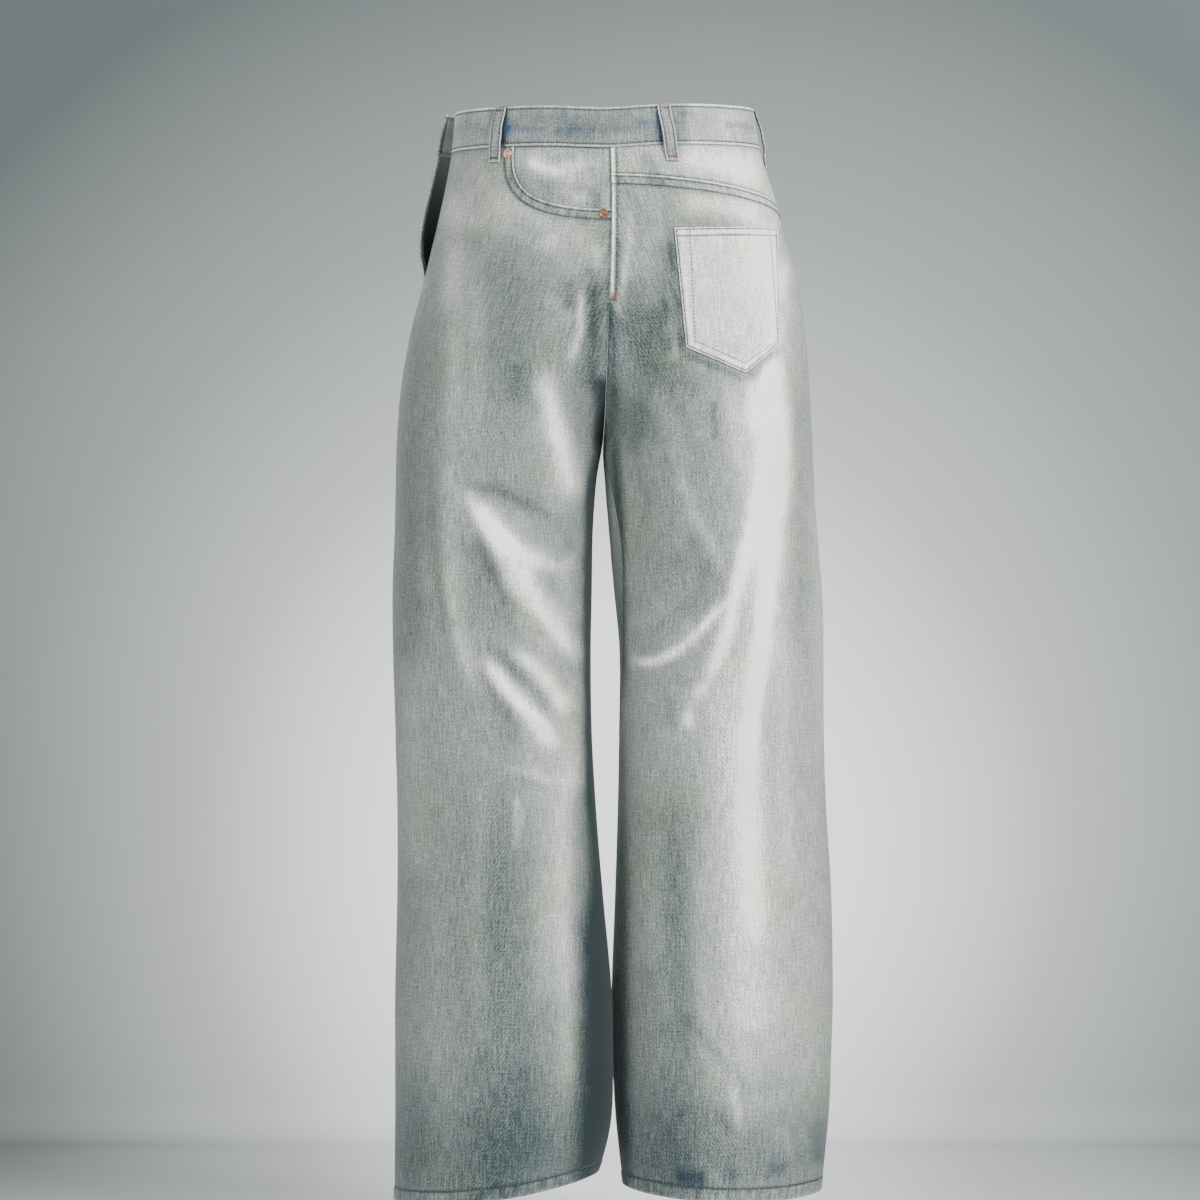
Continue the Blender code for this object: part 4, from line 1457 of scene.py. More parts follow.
@dataclass
class MouthPanel(LegPanel):
    """The left front panel, whose upper edge is scooped out for the pocket mouth."""

    def outline(self) -> tuple[Array, Array, Array, Array]:
        """The upper edge, from the side seam to the centre.

        Returns:
            f and z of its places, and the way off the edge into the panel, across and down.
        """
        start = FORM.mouth_start()
        f_arc, arc = FORM.arcs(LEFT, FRONT, FORM.waist_z)
        reach = float(np.interp(start, f_arc, arc))
        plain = edge_bands(reach, SEAM_COLUMNS, self.column_step)
        plain = np.concatenate([plain[plain < reach - 30], np.linspace(reach - 30, reach, 10)])
        lean = np.clip(1 - (reach - plain) / 26, 0, 1)
        f_plain = np.interp(plain, arc, f_arc)
        z_plain = FORM.waist_line(LEFT, FRONT, f_plain) - HALF_GAP
        angle = np.linspace(0, 1, 420)[1:] * math.pi / 2
        across = power(np.cos(angle), 2 / FORM.mouth_power)
        across[-1] = 0
        drop = FORM.mouth_depth * power(np.sin(angle), 2 / FORM.mouth_power)
        f_mouth = 1 - (1 - start) * across
        z_mouth = FORM.waist_line(LEFT, FRONT, f_mouth) - HALF_GAP - drop
        place = np.interp(f_mouth, f_arc, arc)
        nx, nz = np.gradient(z_mouth, edge_order=2), -np.gradient(place, edge_order=2)
        size = np.hypot(nx, nz)
        nx, nz = nx / size, nz / size
        run = np.concatenate([[0], np.cumsum(np.hypot(np.diff(place), np.diff(z_mouth)))])
        nz = np.minimum(nz, -np.clip(1 - run / 20, 0, 1))
        nx = nx * smooth((run[-1] - run) / 6)
        wanted = edge_bands(run[-1], (0.0, 1.6), 2.6)[1:]
        close = run[-1] - np.array(SEAM_COLUMNS)[::-1]
        wanted = np.concatenate([wanted[wanted < close[0] - 1], close])
        pick = [np.interp(wanted, run, values) for values in (f_mouth, z_mouth, nx, nz)]
        return (np.concatenate([f_plain, pick[0]]), np.concatenate([z_plain, pick[1]]),
                np.concatenate([-lean, pick[2]]), np.concatenate([np.full(plain.shape, -1.0), pick[3]]))

    def rows(self, count: int) -> tuple[Array, Array, Array]:
        """All rows of the panel, from the top down.

        Args:
            count: Unused number of columns: the upper edge sets it.

        Returns:
            f, z and the distance from the upper edge, each with a row of columns for each row.
        """
        f, z, lean, down = self.outline()
        count = len(f)
        wide = FORM.arcs(LEFT, FRONT, -60.0)[1][-1]
        rows_f, rows_z = [], []
        for d in LAP_ROWS:
            rows_f.append(f + lean * d / wide)
            rows_z.append(z + down * d)
        joined = self.columns(FORM.join_z, count)
        steps = 16
        for k in range(1, steps):
            share = k / steps
            rows_f.append(rows_f[len(LAP_ROWS) - 1] * (1 - share) + joined * share)
            rows_z.append(rows_z[len(LAP_ROWS) - 1] * (1 - share) + FORM.join_z * share)
        return self.lower_rows(rows_f, rows_z, count)

    def edge_distance(self, f: Array, z: Array) -> Array:
        """Distances from the upper edge, measured on the cloth."""
        edge_f, edge_z, _, _ = self.outline()
        first = int(np.argmax(edge_z < FORM.waist_line(LEFT, FRONT, edge_f) - 0.2)) - 1
        edge_f, edge_z = edge_f[first:], edge_z[first:]
        edge = np.concatenate([
            FORM.at(LEFT, FRONT, edge_f[k:k + 1], edge_z[k:k + 1], plain=True)[0]
            for k in range(len(edge_f))
        ])
        points = FORM.at(LEFT, FRONT, f, z, plain=True)[0]
        near = np.full(z.shape, FAR)
        zone = z > -135
        chosen = points[zone]
        best = np.full(len(chosen), FAR)
        for a, b in zip(edge[:-1], edge[1:]):
            run = b - a
            t = np.clip(((chosen - a) @ run) / (run @ run), 0, 1)
            best = np.minimum(best, np.linalg.norm(chosen - a - t[:, None] * run, axis=1))
        near[zone] = best
        return near

    def skin(self, f: Array, z: Array, from_top: Array, from_hem: Array) -> dict[str, Array]:
        """Points of the panel as on the others, with a plain seam below the band drawn as a line of painted
        shadow.
        """
        made = super().skin(f, z, from_top, from_hem)
        below_band = FORM.waist_line(LEFT, FRONT, f) - z
        made["marks"]["fade"] = made["marks"]["fade"] - 0.2 * bump(below_band / 1.5)
        return made

    def top_runs(self) -> list[Run]:
        """The two rows of stitches that follow the pocket mouth."""
        f, z, lean, down = self.outline()
        first = int(np.argmax(z < z[0] - 3.0))
        wide = FORM.arcs(LEFT, FRONT, -60.0)[1][-1]
        runs = []
        for d in self.top.grooves:
            part = slice(first, len(f))
            line_f, line_z = f[part] + lean[part] * d / wide, z[part] + down[part] * d
            line_f = np.minimum(line_f, 0.995)
            made = self.skin(line_f, line_z, np.full(line_f.shape, d), np.full(line_f.shape, FAR))
            runs.append(Run(made["outer"], made["out"]))
        return runs


def dress(piece: bpy.types.Object, finish: Any, node: str) -> bpy.types.Object:
    """Gives a cloth piece its finish, hangs it on the root and hides the CAD part that it stands for.

    Args:
        piece: The new piece.
        finish: Its finish.
        node: CAD node that it stands for.

    Returns:
        The same piece.
    """
    piece.data.materials.append(finish.material())
    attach(piece, "root")
    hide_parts(node)
    LOG.info("%s: %d faces", piece.name, len(piece.data.polygons))
    return piece


@dataclass
class Yoke:
    """A yoke between the waist seam and the yoke seam, or the facing in the pocket mouth."""

    name: str
    side: Side
    face: Face
    cut: tuple[float, float]
    area: float
    finish: DenimFinish = DENIM
    slot: str = "denim"
    wall: float = 1.5
    start_f: float = 0.0
    low_z: float | None = None
    sunk: float = 0.0
    number: int = 4

    def skin(self, f: Array, z: Array) -> dict[str, Array]:
        """Points of the piece and its painted marks.

        Args:
            f: Places across.
            z: Heights.

        Returns:
            The arrays outer, out and arc, and the marks.
        """
        point, out = FORM.at(self.side, self.face, f, z)
        total = FORM.arcs(self.side, self.face, -45.0)[1][-1]
        arc = f * total
        from_centre = total - arc
        marks = paint(self.side, self.face, point[..., 0], z, 0.64)
        from_waist = FORM.waist_line(self.side, self.face, f) - z
        raised = -0.4 * smooth(1 - from_waist / EDGE_ROUND)
        # A line of painted shadow under the band's edge
        marks["fade"] = marks["fade"] - 0.22 * bump(from_waist / 1.4)
        if self.side == RIGHT:
            raised = raised + NARROW_LAP.relief(from_centre)
            marks["fade"] = marks["fade"] + NARROW_LAP.fade(from_centre)
            # A line of painted shadow along the yoke seam, under the panel's lapped edge
            marks["fade"] = marks["fade"] - 0.25 * bump((z - FORM.yoke_line(f)) / 1.6)
        else:
            raised = raised + self.wrinkles(point[..., 0], z) - self.sunk
            # Painted light and shade on the facing's wrinkles: paler on their crests and darker in their
            # troughs; the whole facing is a little darker
            marks["fade"] = marks["fade"] + 0.10 * self.wrinkles(point[..., 0], z) - 0.05
        outer = point + out * raised[..., None]
        return {"outer": outer, "out": out, "arc": arc, "marks": marks}

    def wrinkles(self, x: Array, z: Array) -> Array:
        """The slack wrinkles of the facing, which die away towards its hidden edges."""
        total = np.zeros(x.shape)
        for path, width, height in (
            (((-82, -34), (-50, -52), (-12, -60)), 7, 1.3),
            (((-76, -26), (-62, -30), (-40, -27)), 5, 0.8),
            (((-44, -60), (-28, -74), (-14, -76)), 6, 1.0),
            (((-70, -56), (-48, -70), (-30, -78)), 5, -0.9),
            (((-20, -34), (-16, -50)), 5, -0.7),
            (((-30, -30), (-22, -38)), 4, 0.6),
        ):
            t, off = along(through(path), x, z)
            total += height * between(t, 0.1, 0.3) * bump(off / width)
        return total * smooth((x + 88) / 10) * smooth((z + 82) / 8)

    def build(self) -> bpy.types.Object:
        """Builds and dresses the piece.

        Returns:
            The piece.
        """
        f_arc, arc = FORM.arcs(self.side, self.face, -45.0)
        first = float(np.interp(self.start_f, f_arc, arc))
        places = first + edge_bands(arc[-1] - first, SEAM_COLUMNS, 3.2)
        f = np.interp(places, arc, f_arc)
        high = FORM.waist_line(self.side, self.face, f) - HALF_GAP
        low = FORM.yoke_line(f) + HALF_GAP if self.low_z is None else np.full(f.shape, self.low_z)
        shares = edge_bands(1.0, (0.0, 0.012, 0.03, 0.06, 0.1), 0.07)
        z = high + (low - high) * shares[:, None]
        f = np.broadcast_to(f, z.shape)
        made = self.skin(f, z)
        cloth = Cloth(self.name, made["outer"], grid_normals(made["outer"], made["out"]),
                      np.full(z.shape, self.wall), made["arc"] + WEAVE_STEP * self.number, made["marks"],
                      self.side * self.face < 0)
        return dress(cloth.solid(), self.finish, self.name)

    def centre_tack(self) -> list[Run]:
        """The bar tack at the foot of the centre seam's ridge, as close stitches down it."""
        found = []
        for across in (1.2, 2.3, 3.4):
            z = np.linspace(-165.5 - across * 0.4, -173.5 - across * 0.4, 12)
            total = np.array([FORM.arcs(self.side, self.face, level)[1][-1] for level in z])
            point, out = FORM.at(self.side, self.face, 1 - across / total, z)
            found.append(Run(point + out * 0.9, out))
        return found

    def centre_run(self, low: float) -> Run:
        """The stitches beside the centre seam.

        Args:
            low: Height where they end.

        Returns:
            The run.
        """
        z = np.linspace(-24.5, low, 60)
        total = np.array([FORM.arcs(self.side, self.face, level)[1][-1] for level in z])
        f = 1 - 3.3 / total
        point, out = FORM.at(self.side, self.face, f, z)
        return Run(point + out * 0.35, out)


class Streak(NamedTuple):
    """A blue streak on the front of the band, from one x to another, at a height above its seam."""

    start: float
    end: float
    height: float
    thick: float
    amount: float


BAND_STREAKS = (
    # The two streaks from x -101 lie against the left front loop's right edge, and also paint its shadow
    Streak(-101, -96, 30, 9, 0.95), Streak(-101, -94, 18, 6, 1.0), Streak(-97, -84, 22, 5, 0.45),
    Streak(-92, -58, 16.5, 2.2, 0.50), Streak(-84, -28, 25, 7, 0.22), Streak(-52, -28, 15, 4, 0.30),
    Streak(-38, -22, 17.5, 3.2, 0.72), Streak(-24, 18, 18, 5, 0.30), Streak(4, 44, 18, 3.2, 0.42),
    Streak(26, 50, 23, 4, 0.40), Streak(46, 52, 19, 12, 0.80), Streak(66, 88, 30, 3, 0.35),
    Streak(66, 74, 22, 3, 0.35), Streak(84, 112, 22, 8, 0.14), Streak(118, 146, 20, 4, 0.42),
    Streak(-150, -112, 20, 8, 0.16),
)


@dataclass
class Waistband:
    """The straight band round the waist, open at the placket."""

    cut: tuple[float, float] = (862.0, 40.0)
    area: float = 34000.0
    height: float = 40.0
    wall: float = 2.8
    proud: float = 0.7
    stitches: tuple[float, float] = (3.0, 3.3)
    weave_at: float = 3200.0

    def around(self) -> list[tuple[Side, Face, Array]]:
        """The four quarters of the band in order, with their f values."""
        found = []
        for side, face, rising in ((LEFT, FRONT, True), (RIGHT, FRONT, False), (RIGHT, BACK, True),
                                   (LEFT, BACK, False)):
            f_arc, arc = FORM.arcs(side, face, -5.0)
            places = np.linspace(0, arc[-1], int(arc[-1] / 3.3) + 1)
            if (side, face) in ((LEFT, FRONT), (LEFT, BACK)):
                places = np.concatenate([[0, 0.4, 1.0, 1.8], places[1:]])
            f = np.interp(places, arc, f_arc)
            found.append((side, face, f if rising else f[::-1]))
        return found

    def skin(self, share: Array) -> tuple[Array, Array, dict[str, Array], Array]:
        """Points round the band at heights.

        Args:
            share: Distances above the waist seam, one for each row.

        Returns:
            Outer points, outward directions, marks and the length along the band.
        """
        points, outs = [], []
        for k, (side, face, f) in enumerate(self.around()):
            f = f if k == 0 else f[1:]
            z = FORM.waist_line(side, face, f)[None, :] + share[:, None]
            point, out = FORM.at(side, face, np.broadcast_to(f, z.shape), z, apart=0.0)
            points.append(point)
            outs.append(out)
        point, out = np.concatenate(points, 1), np.concatenate(outs, 1)
        level = point[len(share) // 2]
        run = np.concatenate([[0], np.cumsum(np.linalg.norm(np.diff(level, axis=0), axis=1))])
        above = share[:, None] + np.zeros(len(run))
        below = self.height - above
        along_band = np.broadcast_to(run, above.shape)
        raised = np.full(above.shape, self.proud)
        for edge in (above, below, along_band, run[-1] - along_band):
            raised -= 0.5 * smooth(1 - edge / EDGE_ROUND)
        grooves = bump((above - self.stitches[1]) / 0.75) + bump((below - self.stitches[0]) / 0.75)
        slack = FORM.mottle.at(along_band / 21, above / 19) * smooth(above / 8) * smooth(below / 8)
        raised += 0.5 * slack - 0.4 * grooves
        # Worn pale fold edges, and painted shade in the sewn grooves
        fade = 0.5 + 0.28 * bump((below - 1.2) / 1.2) + 0.24 * bump((above - 1.5) / 1.2) - 0.3 * grooves
        patchy = FORM.mottle.at(along_band / 37, above / 30)
        fade += 0.10 * smooth(above / 14) * smooth(below / 14) * patchy
        x, in_front = point[..., 0], along_band < run[-1] / 2
        # Behind, one faint blue streak comes and goes along the band
        faint = smooth(0.5 + FORM.mottle.at(along_band / 23, above * 0))
        blue = 0.32 * (1 - in_front) * bump((above - 19) / 6) * faint
        ragged = 1 + 0.5 * FORM.mottle.at(along_band / 9, above / 4 + 2)
        for streak in BAND_STREAKS:
            reach = smooth((x - streak.start + 2) / 4) * smooth((streak.end + 5 - x) / 10) * in_front
            line = bump((above - streak.height) / streak.thick)
            blue = np.maximum(blue, streak.amount * reach * ragged * line)
        # The band is paler right of x 76 and left of x -110, and a painted shadow darkens it just beside the
        # two front loops
        shade = 0.5 * bump((x + 101.3) / 3.2) + 0.3 * bump((x - 54) / 3)
        fade += (0.22 * smooth((x - 76) / 8) + 0.15 * smooth((-110 - x) / 8) - shade) * in_front
        marks = {"fade": fade - 0.12 * blue, "blue": blue,
                 "lap": 0.35 * smooth((5 - above) / 2) + 0.35 * smooth((5 - below) / 2)}
        return point + out * raised[..., None], out, marks, along_band

    def build(self) -> bpy.types.Object:
        """Builds and dresses the band.

        Returns:
            The band.
        """
        near = (0.0, 0.4, 1.0, 1.8, 2.6, 3.15, 3.7, 4.8, 6.5)
        share = HALF_GAP + edge_bands(self.height - HALF_GAP, near, 2.6)[::-1]
        outer, out, marks, run = self.skin(share)
        turned = 0.2 + 0.2 * smooth((15.0 - (run.max() - run)) / 2)
        cloth = Cloth("waistband", outer, grid_normals(outer, out), np.full(run.shape, self.wall),
                      run + self.weave_at, marks, turned=turned)
        return dress(cloth.solid(), BAND_DENIM, "waistband")

    def runs(self) -> list[Run]:
        """The rows of stitches along its two edges."""
        found = []
        for above in (self.stitches[1], self.height - self.stitches[0]):
            outer, out, _, _ = self.skin(np.array([above]))
            found.append(Run(outer[0], out[0]))
        return found


# Distances from the patch pocket's edges at which its columns and rows lie
POCKET_COLUMNS = (0.0, 0.4, 1.0, 1.6, 2.1, 2.6, 3.6, 5.0, 7.0, 8.6, 10.0)
POCKET_ROWS = (0.0, 0.4, 1.0, 1.6, 2.1, 2.6, 3.6, 5.4, 7.4, 8.0, 8.6, 9.2, 10.4)


class PocketCorner(NamedTuple):
    """A corner of the patch pocket."""

    x: float
    z: float


@dataclass
class PatchPocket:
    """The five-cornered patch pocket on the right front panel."""

    cut: tuple[float, float] = (118.0, 150.0)
    area: float = 14700.0
    wall: float = 1.5
    gap: float = 0.3
    hem_height: float = 8.6
    across_mm: float = 104.0
    down_mm: float = 124.0
    weave_at: float = 3000.0
    corners: tuple[PocketCorner, ...] = (
        PocketCorner(66, -102), PocketCorner(169, -98), PocketCorner(167, -216), PocketCorner(137, -245),
        PocketCorner(78, -220),
    )
    inner_row: tuple[PocketCorner, ...] = (
        PocketCorner(81.5, -104), PocketCorner(86.7, -213.5), PocketCorner(135.5, -235),
        PocketCorner(165, -212), PocketCorner(162.5, -177), PocketCorner(159.8, -101),
    )

    def flat(self, u: Array, v: Array) -> tuple[Array, Array]:
        """Where a place of the pocket lies on the panel.

        Args:
            u: Share across, from the inner side.
            v: Share down, from the top hem.

        Returns:
            x and z.
        """
        inner, outer, low_outer, tip, low_inner = self.corners
        top_x, top_z = inner.x + (outer.x - inner.x) * u, inner.z + (outer.z - inner.z) * u
        turn = (tip.x - low_inner.x) / (low_outer.x - low_inner.x)
        low_x = low_inner.x + (low_outer.x - low_inner.x) * u
        left_z = low_inner.z + (tip.z - low_inner.z) * u / turn
        right_z = tip.z + (low_outer.z - tip.z) * (u - turn) / (1 - turn)
        low_z = np.where(u < turn, left_z, right_z)
        return top_x + (low_x - top_x) * v, top_z + (low_z - top_z) * v

    def edges(self, x: Array, z: Array) -> tuple[Array, Array]:
        """Distances from the pocket's nearest edge and from its top edge."""
        ring = [*self.corners, self.corners[0]]
        near = []
        for a, b in zip(ring, ring[1:]):
            run = np.array([b.x - a.x, b.z - a.z], float)
            run /= np.hypot(*run)
            near.append(np.abs((x - a.x) * run[1] - (z - a.z) * run[0]))
        return np.minimum.reduce(near), near[0]

    def skin(self, x: Array, z: Array) -> dict[str, Array]:
        """Points of the pocket's outer face and its marks.

        Args:
            x: Across values.
            z: Heights.

        Returns:
            The arrays outer and out, and the marks.
        """
        f = FORM.f_at(RIGHT, FRONT, x, z)
        point, out = FORM.at(RIGHT, FRONT, f, z)
        near, from_top = self.edges(x, z)
        raised = self.gap + self.wall - 0.45 * smooth(1 - near / EDGE_ROUND)
        raised = raised - 0.35 * bump((near - 2.0) / 0.8) - 0.35 * bump((from_top - self.hem_height) / 0.8)
        raised = raised + 0.5 * smooth((near - 3) / 12)
        # The pocket is painted paler than the panel, as a painted light on the right hip
        marks = paint(RIGHT, FRONT, x, z, 0.80)
        # Its edge is worn pale, with painted shade in its stitch groove, along its outer edge and along the
        # hem's stitches
        marks["fade"] += 0.2 * bump((near - 1.1) / 0.7) - 0.5 * bump((near - 2.1) / 0.6)
        marks["fade"] -= 0.5 * smooth((0.7 - near) / 0.5)
        marks["fade"] -= 0.5 * bump((from_top - self.hem_height) / 0.6) * (near > 1.5)
        marks["fade"] += 0.10 * bump((near - 5.5) / 2.2)
        marks["lap"] = 0.7 * smooth((9 - near) / 3)
        return {"outer": point + out * raised[..., None], "out": out, "marks": marks}

    def build(self) -> bpy.types.Object:
        """Builds and dresses the pocket.

        Returns:
            The pocket.
        """
        u = edge_bands(self.across_mm, POCKET_COLUMNS, 2.6) / self.across_mm
        v = edge_bands(self.down_mm, POCKET_ROWS, 2.6) / self.down_mm
        across, down = np.meshgrid(u, v)
        x, z = self.flat(across, down)
        made = self.skin(x, z)
        cloth = Cloth("patch_pocket", made["outer"], grid_normals(made["outer"], made["out"]),
                      np.full(x.shape, self.wall), x + self.weave_at, made["marks"], True)
        return dress(cloth.solid(), DENIM, "patch_pocket")

    def run(self, places: Sequence[tuple[float, float]]) -> Run:
        """A row of stitches through places on the pocket.

        Args:
            places: Its x and z places.

        Returns:
            The run.
        """
        line = np.array(places, float)
        fine = np.concatenate([a + (b - a) * np.linspace(0, 1, 40, endpoint=False)[:, None]
                               for a, b in zip(line, line[1:])] + [line[-1:]])
        made = self.skin(fine[:, 0], fine[:, 1])
        return Run(made["outer"], made["out"])

    def inset(self, d: float) -> list[tuple[float, float]]:
        """The pocket's corners moved in by a distance."""
        points = [np.array(c, float) for c in self.corners]
        count = len(points)
        moved = []
        for k in range(count):
            before, here, after = points[k - 1], points[k], points[(k + 1) % count]
            a, b = here - before, after - here
            a, b = a / np.hypot(*a), b / np.hypot(*b)
            na, nb = np.array([a[1], -a[0]]), np.array([b[1], -b[0]])
            moved.append(tuple(here + (na + nb) * d / (1 + na @ nb)))
        return moved

    def runs(self) -> tuple[list[Run], list[Run]]:
        """The pocket's rows of stitches.

        Returns:
            Those in grey, and those in rust along the top hem and at its corners.
        """
        ring = self.inset(2.1)
        sides = [self.run([ring[1], ring[2], ring[3], ring[4], ring[0]]), self.run(self.inner_row)]
        left, right = np.array(ring[0]), np.array(ring[1])
        drop = np.array([0.0, 2.1 - self.hem_height])
        top = [self.run([left, left * 0.85 + right * 0.15]), self.run([left * 0.07 + right * 0.93, right]),
               self.run([left + drop + (0.6, 0), right + drop])]
        sides.append(self.run([left * 0.85 + right * 0.15, left * 0.07 + right * 0.93]))
        return sides, top


class LoopPlace(NamedTuple):
    """Where a belt loop is sewn on, and how far it leans over its length."""

    side: Side
    face: Face
    x: float
    lean: float


@dataclass
class BeltLoops:
    """Narrow straps over the band, seated at both ends and arched between them."""

    places: tuple[LoopPlace, ...] = (
        LoopPlace(LEFT, FRONT, -105.5, -3.4), LoopPlace(RIGHT, FRONT, 59, 4.9),
        LoopPlace(RIGHT, BACK, 156, 0.0), LoopPlace(RIGHT, BACK, 62, 3.0), LoopPlace(LEFT, BACK, -102, -3.0),
    )
    cut: tuple[float, float] = (13.2, 57.0)
    width: float = 13.2
    wall: float = 2.0
    low_z: float = -36.0
    top_drop: float = 1.0
    seat: float = 0.5
    arch: float = 3.2
    band_proud: float = 0.7
    weave_at: float = 3400.0
    weave_step: float = 20.0

    def skin(self, loop: LoopPlace, k: Array, t: Array) -> tuple[Array, Array, Array]:
        """Points of a loop's outer face.

        Args:
            loop: The loop.
            k: Places across, from -1 to 1.
            t: Places down, from 0 to 1.

        Returns:
            Points, outward directions and heights.
        """
        f = FORM.f_at(loop.side, loop.face, loop.x, -20.0)
        seam = FORM.waist_line(loop.side, loop.face, np.array([f]))[0]
        high = seam + 40.0 - self.top_drop
        z = high + (self.low_z - high) * t
        on_band = smooth((z - seam + 7) / 5)
        arch = self.arch * between(t, 0.0, 0.4)
        middle, out = FORM.at(loop.side, loop.face, np.broadcast_to(f, z.shape), z, apart=0.0)
        beside = np.stack([-out[..., 1], out[..., 0], np.zeros(z.shape)], -1)
        lean = np.stack([loop.lean * t, np.zeros(z.shape), np.zeros(z.shape)], -1)
        middle = middle + lean - out * (out * lean).sum(-1, keepdims=True)
        edge = 1 - np.abs(k)
        raised = self.band_proud * on_band + self.seat + arch + self.wall
        raised = raised + 0.25 - 0.5 * smooth(1 - edge * self.width / 2 / EDGE_ROUND)
        raised = raised - 0.35 * bump((edge * self.width / 2 - 2.1) / 0.7)
        wobble = 0.25 * np.sin(t * 11 + loop.x) * (np.abs(k) > 0.3)
        point = middle + out * raised[..., None] + beside * (k * self.width / 2 + wobble)[..., None]
        return point, out, z

    def build(self) -> list[bpy.types.Object]:
        """Builds and dresses the loops.

        Returns:
            The loops.
        """
        made = []
        half = np.array([0.3, 0.54, 0.63, 0.72, 0.82, 0.93, 1.0])
        k = np.concatenate([-half[::-1], [0.0], half])
        t = edge_bands(1.0, (0.0, 0.008, 0.02, 0.04, 0.06, 0.08, 0.1), 0.05)
        across, down = np.meshgrid(k, t)
        for number, loop in enumerate(self.places, start=1):
            outer, out, z = self.skin(loop, across, down)
            edge = (1 - np.abs(across)) * self.width / 2
            # Worn pale edges, with painted shade in the sewn grooves, and a pale folded lower end
            fade = 0.56 + 0.3 * bump((edge - 0.4) / 0.7) - 0.26 * bump((edge - 2.1) / 0.6)
            fade = fade + 0.15 * bump((down - 0.99) / 0.02)
            marks = {"fade": fade, "blue": np.zeros(z.shape), "lap": np.zeros(z.shape)}
            name = f"belt_loop_{number}"
            weave = across * self.width / 2 + self.weave_at + self.weave_step * number
            cloth = Cloth(name, outer, grid_normals(outer, out), np.full(z.shape, self.wall), weave,
                          marks, loop.face == BACK)
            cloth.flip = bool(np.cross(outer[1, 0] - outer[0, 0], outer[0, 1] - outer[0, 0]) @ out[0, 0] < 0)
            made.append(dress(cloth.solid(), BAND_DENIM, name))
        return made

    def runs(self) -> list[Run]:
        """The two rows of stitches of each loop."""
        t = np.linspace(0.02, 0.98, 40)
        found = []
        for loop in self.places:
            for k in (-0.63, 0.63):
                point, out, _ = self.skin(loop, np.full(t.shape, k), t)
                found.append(Run(point, out))
        return found

    def tacks(self, number: int) -> list[Run]:
        """The bar tacks at both ends of a loop, as close stitches across it.

        Args:
            number: Which loop, from 1.

        Returns:
            The runs.
        """
        loop = self.places[number - 1]
        k = np.linspace(-0.62, 0.62, 12)
        found = []
        for t in (0.045, 0.062, 0.915, 0.932):
            point, out, _ = self.skin(loop, k, np.full(k.shape, t))
            found.append(Run(point + out * 0.15, out))
        return found


@dataclass
class Rivet:
    """A stamped rivet at an end of the pocket mouth."""

    name: str
    x: float
    z: float
    finish: CopperFinish
    width: float = 9.0
    # Share of the width and rise in mm of each ring of the stamped head, from its rim inwards
    profile: tuple[tuple[float, float], ...] = (
        (1.0, 0.55), (0.95, 0.35), (0.86, 0.12), (0.72, -0.05), (0.60, -0.30), (0.50, -0.12),
        (0.46, 0.30), (0.34, 0.28), (0.20, 0.05), (0.14, -0.16),
    )

    def build(self) -> bpy.types.Object:
        """Models the rivet on its place and dresses it.

        Returns:
            The rivet.
        """
        f = FORM.f_at(LEFT, FRONT, self.x, self.z)
        point, out = FORM.at(LEFT, FRONT, np.array([f]), np.array([self.z]))
        way = Vector(out[0])
        seat = (Vector(point[0]) + way * 1.05) * MM
        turn = way.to_track_quat("Z", "Y").to_euler()
        bpy.ops.object.select_all(action="DESELECT")
        radius = self.width / 2 * MM
        bpy.ops.mesh.primitive_circle_add(
            vertices=40, radius=radius, fill_type="NGON", location=seat, rotation=turn)
        piece = bpy.context.active_object
        piece.name = piece.data.name = self.name + "_stamped"
        bpy.ops.object.transform_apply(location=True, rotation=True, scale=True)
        bpy.ops.object.mode_set(mode="EDIT")
        bpy.ops.mesh.select_all(action="SELECT")
        size = 1.0
        for reach, rise in self.profile:
            step = way * rise * MM
            bpy.ops.mesh.extrude_region_move(TRANSFORM_OT_translate={"value": step})
            shrink = reach / size
            bpy.ops.transform.resize(value=(shrink, shrink, shrink))
            size = reach
        bpy.ops.mesh.select_all(action="SELECT")
        bpy.ops.mesh.normals_make_consistent(inside=False)
        bpy.ops.object.mode_set(mode="OBJECT")
        bevel = piece.modifiers.new("softened", "BEVEL")
        bevel.width, bevel.segments, bevel.limit_method = 0.00012, 2, "ANGLE"
        bpy.ops.object.modifier_apply(modifier=bevel.name)
        bpy.ops.object.shade_smooth_by_angle(angle=math.radians(40))
        piece.data.materials.append(self.finish.material())
        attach(piece, "root")
        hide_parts(self.name)
        LOG.info("%s: %d faces", piece.name, len(piece.data.polygons))
        return piece


